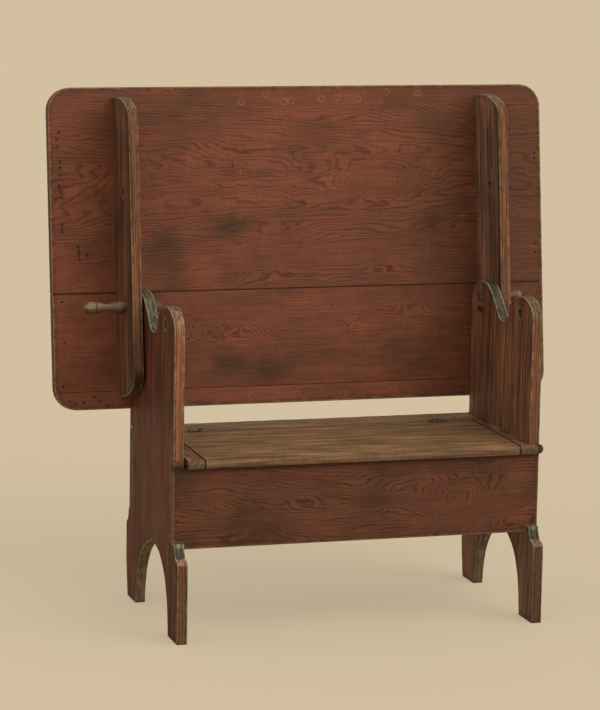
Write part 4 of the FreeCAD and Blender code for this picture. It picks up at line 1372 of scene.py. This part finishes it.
def build_cleats(sizes, ends):
    """Both cleats: boards on edge behind the top, with rounded front corners and two holes."""
    back, front = sizes.behind, -sizes.cleat_before
    flat = back - sizes.cleat_flat
    high, low, rise = sizes.cleat_above, -sizes.cleat_below, sizes.cleat_round
    outline = ring(
        ((back, low), (back, high), (flat, high)),
        arc((flat, high), (front, high), (front, high - rise)),
        arc((front, low + rise), (front, low), (flat, low)),
        step=0.007,
    )
    heights = (0.0, ends.hole_spacing)
    holes = [hole((0.0, height), ends.hole_radius) for height in heights]
    rings = [(0.0, height, HOLE_RING, HOLE_RING, PLUG) for height in heights]
    worn_track = (0.0, ends.hole_spacing, 0.0045, 0.027, SCRATCH)
    recipes = {
        "left": (82, {"side_gain": (0.85, 0.84, 0.84)}),
        # The right cleat's inner gain is painted light: it brightens the inner face against its shade.
        "right": (81, {"side_gain": (0.97, 0.97, 0.97), "inner_gain": (1.85, 2.28, 2.75)}),
    }
    for name, (seed, gains) in recipes.items():
        side = SIDES[name]
        outer, thickness = outer_face("top_cleat_" + name, side)
        place = (np.array((outer, PIVOT[1], PIVOT[2])), DEEP, UP, -side * X_AXIS)
        piece = flat_board(
            "cleat_" + name, [outline] + holes, thickness, place, 1, 0.0014,
            marks=rings, back_marks=rings + [worn_track], seed=seed,
        )
        figure = {**STRIPED, "Pith": (0.0, -0.26, -0.5), "Taper": 0.01, "Flame": 0.007,
                  "Flame Scale": (1.6, 16.0, 16.0)}
        # Shade paints shade on the faces near the front edge.
        finish = wood(
            "cleat_wood_" + name, "cleat", 81 + side, lines=0.75, end=0.95, side=0.95, streaks=0.9,
            worn=(0.14, 0.5), shade=(1, -0.062, -0.02, 0.75, 0.0), bands=CLEAT_BANDS,
            gain=(0.93, 1.0, 1.1), **gains, **figure,
        )
        finished(piece, "top", finish, "top_cleat_" + name)


def smooth_through(places, values, at):
    """Cosine steps between the values at the given places."""
    index = np.clip(np.searchsorted(places, at) - 1, 0, len(places) - 2)
    share = np.clip((at - places[index]) / (places[index + 1] - places[index]), 0.0, 1.0)
    ease = (1.0 - np.cos(share * math.pi)) / 2.0
    return values[index] + (values[index + 1] - values[index]) * ease


# Share of a peg's handle that lies before the groove
GROOVE_AT = 0.72


def peg_profile(sizes, start, long):
    """Places along a peg from its inner end and the radius at each: the shank and the turned handle."""
    bulb = sizes.bulb
    handle_places = start + long * np.array((0.0, 0.08, 0.46, 0.70, GROOVE_AT, 0.74, 0.85, 0.96, 1.0))
    handle_radii = np.array((
        sizes.shoulder - 0.001, sizes.shoulder, sizes.waist, bulb - 0.0012,
        bulb - 0.0012 - sizes.groove, bulb - 0.001, bulb, bulb - 0.0022, sizes.tip,
    ))
    handle = start + long * np.concatenate((np.linspace(0.0, 0.9, 64), np.linspace(0.91, 1.0, 12)))
    shank = np.array((0.0, 0.0008, 0.0025, start - 0.0004, start - 0.0001))
    shank_radii = sizes.shank - np.array((0.0025, 0.0012, 0.0, 0.0, 0.0))
    handle_radii = smooth_through(handle_places, handle_radii, handle)
    return np.concatenate((shank, handle)), np.concatenate((shank_radii, handle_radii))


def build_pegs(sizes):
    """Both pivot pegs: a turned profile, whittled to eight soft facets on the handle.

    At the angle a from its middle, a flat facet lies at cos(pi / 8) / cos(a) of the radius.
    """
    figure = {"Ring Width": 0.003, "Pith": (0.0, 0.004, 0.002), "Flame": 0.002, "Wander": 0.4}
    flattened = 0.45
    handled = 0.02
    turn = np.linspace(0.0, 2.0 * math.pi, 49)[:-1]
    facet = np.cos(math.pi / 8) / np.cos((turn % (math.pi / 4)) - math.pi / 8)
    for name, side in SIDES.items():
        low, high = corners("peg_" + name)
        tip, end = (low[0], high[0]) if side > 0 else (high[0], low[0])
        start = abs(outer_face("top_cleat_" + name, side)[0] - tip) + sizes.gap
        long = abs(end - tip) - start
        place, radii = peg_profile(sizes, start, long)
        place, radii = place[:, None], radii[:, None]
        on_handle = np.clip((place - start - 0.01 * long) / (0.1 * long), 0.0, 1.0)
        around = np.broadcast_arrays(place, 0.02 * np.cos(turn), 0.02 * np.sin(turn))
        worn = 1.0 - on_handle * (handled + handled * swell(np.stack(around, -1), 0.03, 91 + int(side)))
        shape = radii * (1.0 - flattened * on_handle * (1.0 - facet)) * worn
        local = np.stack((
            np.broadcast_to(side * place, shape.shape), shape * np.cos(turn), shape * np.sin(turn),
        ), -1)
        fields = {
            **bare(shape.shape),
            "grain": local,
            "rim": np.minimum(np.abs(place - start), np.abs(place - start - long)),
            "side": (place < start) * 1.0,
            "joint": np.abs(place - start - GROOVE_AT * long),
        }
        piece = carried("peg_" + name + "_wood", local + (tip, PIVOT[1], PIVOT[2]), fields, X_AXIS)
        # Shade paints shade on the lower half of the peg, and dirt and painted shade darken its shoulder and
        # the handle's end.
        finish = wood(
            "peg_wood_" + name, "peg", 91 + side, lines=0.6, end=1.0, rough=0.5, worn=(0.1, 0.1),
            dirt=0.8, shade=(2, -0.010, 0.008, 0.95, 0.0), joint=0.0022, **figure,
        )
        finished(piece, "peg_" + name, finish, "peg_" + name)


def build_stage(settings):
    """Floor, two soft suns, a pale world and the camera."""
    scene = bpy.context.scene
    scene.view_settings.view_transform = "Standard"
    tone = (*settings.floor, 1.0)
    far = 60.0
    mesh = bpy.data.meshes.new("floor")
    mesh.from_pydata([(-far, -far, 0), (far, -far, 0), (far, far, 0), (-far, far, 0)], [], [(0, 1, 2, 3)])
    floor = bpy.data.objects.new("floor", mesh)
    scene.collection.objects.link(floor)
    material, web, shader = new_material("floor_paper")
    web.feed(shader.inputs, {"Base Color": tone, "Roughness": 1.0, "Specular IOR Level": 0.0})
    plain_tone = web.add("ShaderNodeEmission", {"Color": tone}).outputs[0]
    plain_share = 0.62
    seen = web.times(web.add("ShaderNodeLightPath").outputs["Is Camera Ray"], plain_share)
    shown = web.add("ShaderNodeMixShader", {0: seen, 1: shader.outputs[0], 2: plain_tone}).outputs[0]
    web.feed(web.tree.nodes["Material Output"].inputs, {"Surface": shown})
    mesh.materials.append(material)

    spread = math.radians(60.0)
    lamps = {"key": (1.45, (0.60, -0.75, 0.62)), "fill": (0.30, (-0.75, -0.8, 0.45))}
    for name, (power, toward) in lamps.items():
        lamp = bpy.data.lights.new(name + "_lamp", "SUN")
        lamp.energy = power
        lamp.angle = spread
        lamp_object = bpy.data.objects.new(name + "_lamp", lamp)
        lamp_object.rotation_euler = Vector(toward).to_track_quat("Z", "Y").to_euler()
        scene.collection.objects.link(lamp_object)

    world = bpy.data.worlds.new("studio")
    scene.world = world
    world.use_nodes = True
    web = Web(world.node_tree)
    web.tree.nodes.clear()
    daylight = (1.0, 0.97, 0.92, 1.0)
    light = web.add("ShaderNodeBackground", {"Color": daylight, "Strength": 0.7}).outputs[0]
    seen = web.add("ShaderNodeBackground", {"Color": tone, "Strength": 1.0}).outputs[0]
    path = web.add("ShaderNodeLightPath").outputs
    direct = web.math("MAXIMUM", path["Is Camera Ray"], path["Is Glossy Ray"])
    shown = web.add("ShaderNodeMixShader", {0: direct, 1: light, 2: seen}).outputs[0]
    web.add("ShaderNodeOutputWorld", {"Surface": shown})

    yaw, pitch, roll = settings.yaw, settings.pitch, settings.roll
    back = Vector((math.sin(yaw) * math.cos(pitch), -math.cos(yaw) * math.cos(pitch), math.sin(pitch)))
    level = Vector((math.cos(yaw), math.sin(yaw), 0.0))
    upright = back.cross(level)
    right = level * math.cos(roll) + upright * math.sin(roll)
    up = upright * math.cos(roll) - level * math.sin(roll)
    camera_data = bpy.data.cameras.new("camera")
    camera_data.lens = settings.lens
    camera_data.clip_end = 200.0
    camera = bpy.data.objects.new("camera", camera_data)
    turn = Matrix((right, up, back)).transposed().to_4x4()
    camera.matrix_world = Matrix.Translation(Vector(settings.target) + back * settings.distance) @ turn
    scene.collection.objects.link(camera)
    scene.camera = camera


HINGE_PARTS = ("leaf_fixed", "leaf_lid", "pin", "screws_fixed", "screws_lid")
IRON = tuple(f"hinge_{part}_{side}" for part in HINGE_PARTS for side in SIDES)
NAILS = (
    "front_panel_nails", "back_panel_nails", "bottom_nails", "seat_nails", "lid_nails", "top_nails_left",
    "top_nails_right",
)


def dress_fixings():
    """Iron for hinges and screws, stained iron for nails, and wood for the dowels in the top's seams."""
    # The pale tone a39680 is rubbed iron and painted highlights on the hinges.
    dressed(IRON, iron("old_iron", "3f352b", "665040", "a39680"))
    dressed(NAILS, iron("old_nail", "33211a", "4b3023", "5f4434"))
    finish = wood("dowel_wood", "inner", 95, fields=False, lines=0.4, patches=0.3, rough=0.7)
    dressed(("top_dowels_upper", "top_dowels_lower"), finish)


# Operators and panel

class BENCH_OT_ends(bpy.types.Operator):
    """Build both end boards with their lobes, arches and peg holes"""

    bl_idname = "bench.ends"
    bl_label = "End boards"

    def execute(self, context):
        build_ends(context.scene.bench_end)
        return {"FINISHED"}


class BENCH_OT_panels(bpy.types.Operator):
    """Build the front and the back panel of the seat box"""

    bl_idname = "bench.panels"
    bl_label = "Panels"

    def execute(self, context):
        build_panels(context.scene.bench_end)
        return {"FINISHED"}


class BENCH_OT_box(bpy.types.Operator):
    """Build the box bottom, its cleats and the lid battens"""

    bl_idname = "bench.box"
    bl_label = "Inside of the box"

    def execute(self, context):
        build_box()
        return {"FINISHED"}


class BENCH_OT_seat(bpy.types.Operator):
    """Build the lid and the fixed strips around it"""

    bl_idname = "bench.seat"
    bl_label = "Seat"

    def execute(self, context):
        build_seat(context.scene.bench_seat)
        return {"FINISHED"}


class BENCH_OT_top(bpy.types.Operator):
    """Build the three boards of the tilting top"""

    bl_idname = "bench.top"
    bl_label = "Top boards"

    def execute(self, context):
        build_top(context.scene.bench_top)
        return {"FINISHED"}


class BENCH_OT_cleats(bpy.types.Operator):
    """Build the two cleats that carry the top"""

    bl_idname = "bench.cleats"
    bl_label = "Cleats"

    def execute(self, context):
        build_cleats(context.scene.bench_top, context.scene.bench_end)
        return {"FINISHED"}


class BENCH_OT_pegs(bpy.types.Operator):
    """Build the two turned pegs that the top swings on"""

    bl_idname = "bench.pegs"
    bl_label = "Pegs"

    def execute(self, context):
        build_pegs(context.scene.bench_peg)
        return {"FINISHED"}


class BENCH_OT_fixings(bpy.types.Operator):
    """Give the hinges, screws, nails and dowels their iron and wood"""

    bl_idname = "bench.fixings"
    bl_label = "Hinges, nails and dowels"

    def execute(self, context):
        dress_fixings()
        return {"FINISHED"}


class BENCH_OT_stage(bpy.types.Operator):
    """Lay the floor and set the lamps, the world and the camera"""

    bl_idname = "bench.stage"
    bl_label = "Stage"

    def execute(self, context):
        build_stage(context.scene.bench_stage)
        return {"FINISHED"}


OPERATORS = (
    BENCH_OT_stage,
    BENCH_OT_ends,
    BENCH_OT_panels,
    BENCH_OT_box,
    BENCH_OT_seat,
    BENCH_OT_top,
    BENCH_OT_cleats,
    BENCH_OT_pegs,
    BENCH_OT_fixings,
)


class BENCH_PT_pieces(bpy.types.Panel):
    """Buttons for the bench's pieces, in building order"""

    bl_idname = "BENCH_PT_pieces"
    bl_label = "Settle Bench"
    bl_space_type = "VIEW_3D"
    bl_region_type = "UI"
    bl_category = "Settle Bench"

    def draw(self, context):
        column = self.layout.column(align=True)
        for step in OPERATORS:
            column.operator(step.bl_idname)
        for key in SETTINGS:
            group = getattr(context.scene, key)
            box = self.layout.box()
            for prop in group.bl_rna.properties:
                if prop.identifier not in {"rna_type", "name"}:
                    box.prop(group, prop.identifier)


CLASSES = (*SETTINGS.values(), *OPERATORS, BENCH_PT_pieces)


def register():
    for cls in CLASSES:
        bpy.utils.register_class(cls)
    for key, group in SETTINGS.items():
        setattr(bpy.types.Scene, key, bpy.props.PointerProperty(type=group))


def unregister():
    for key in SETTINGS:
        delattr(bpy.types.Scene, key)
    for cls in reversed(CLASSES):
        bpy.utils.unregister_class(cls)


def main():
    register()
    for step in OPERATORS:
        group, name = step.bl_idname.split(".")
        getattr(getattr(bpy.ops, group), name)()


if __name__ == "__main__":
    main()
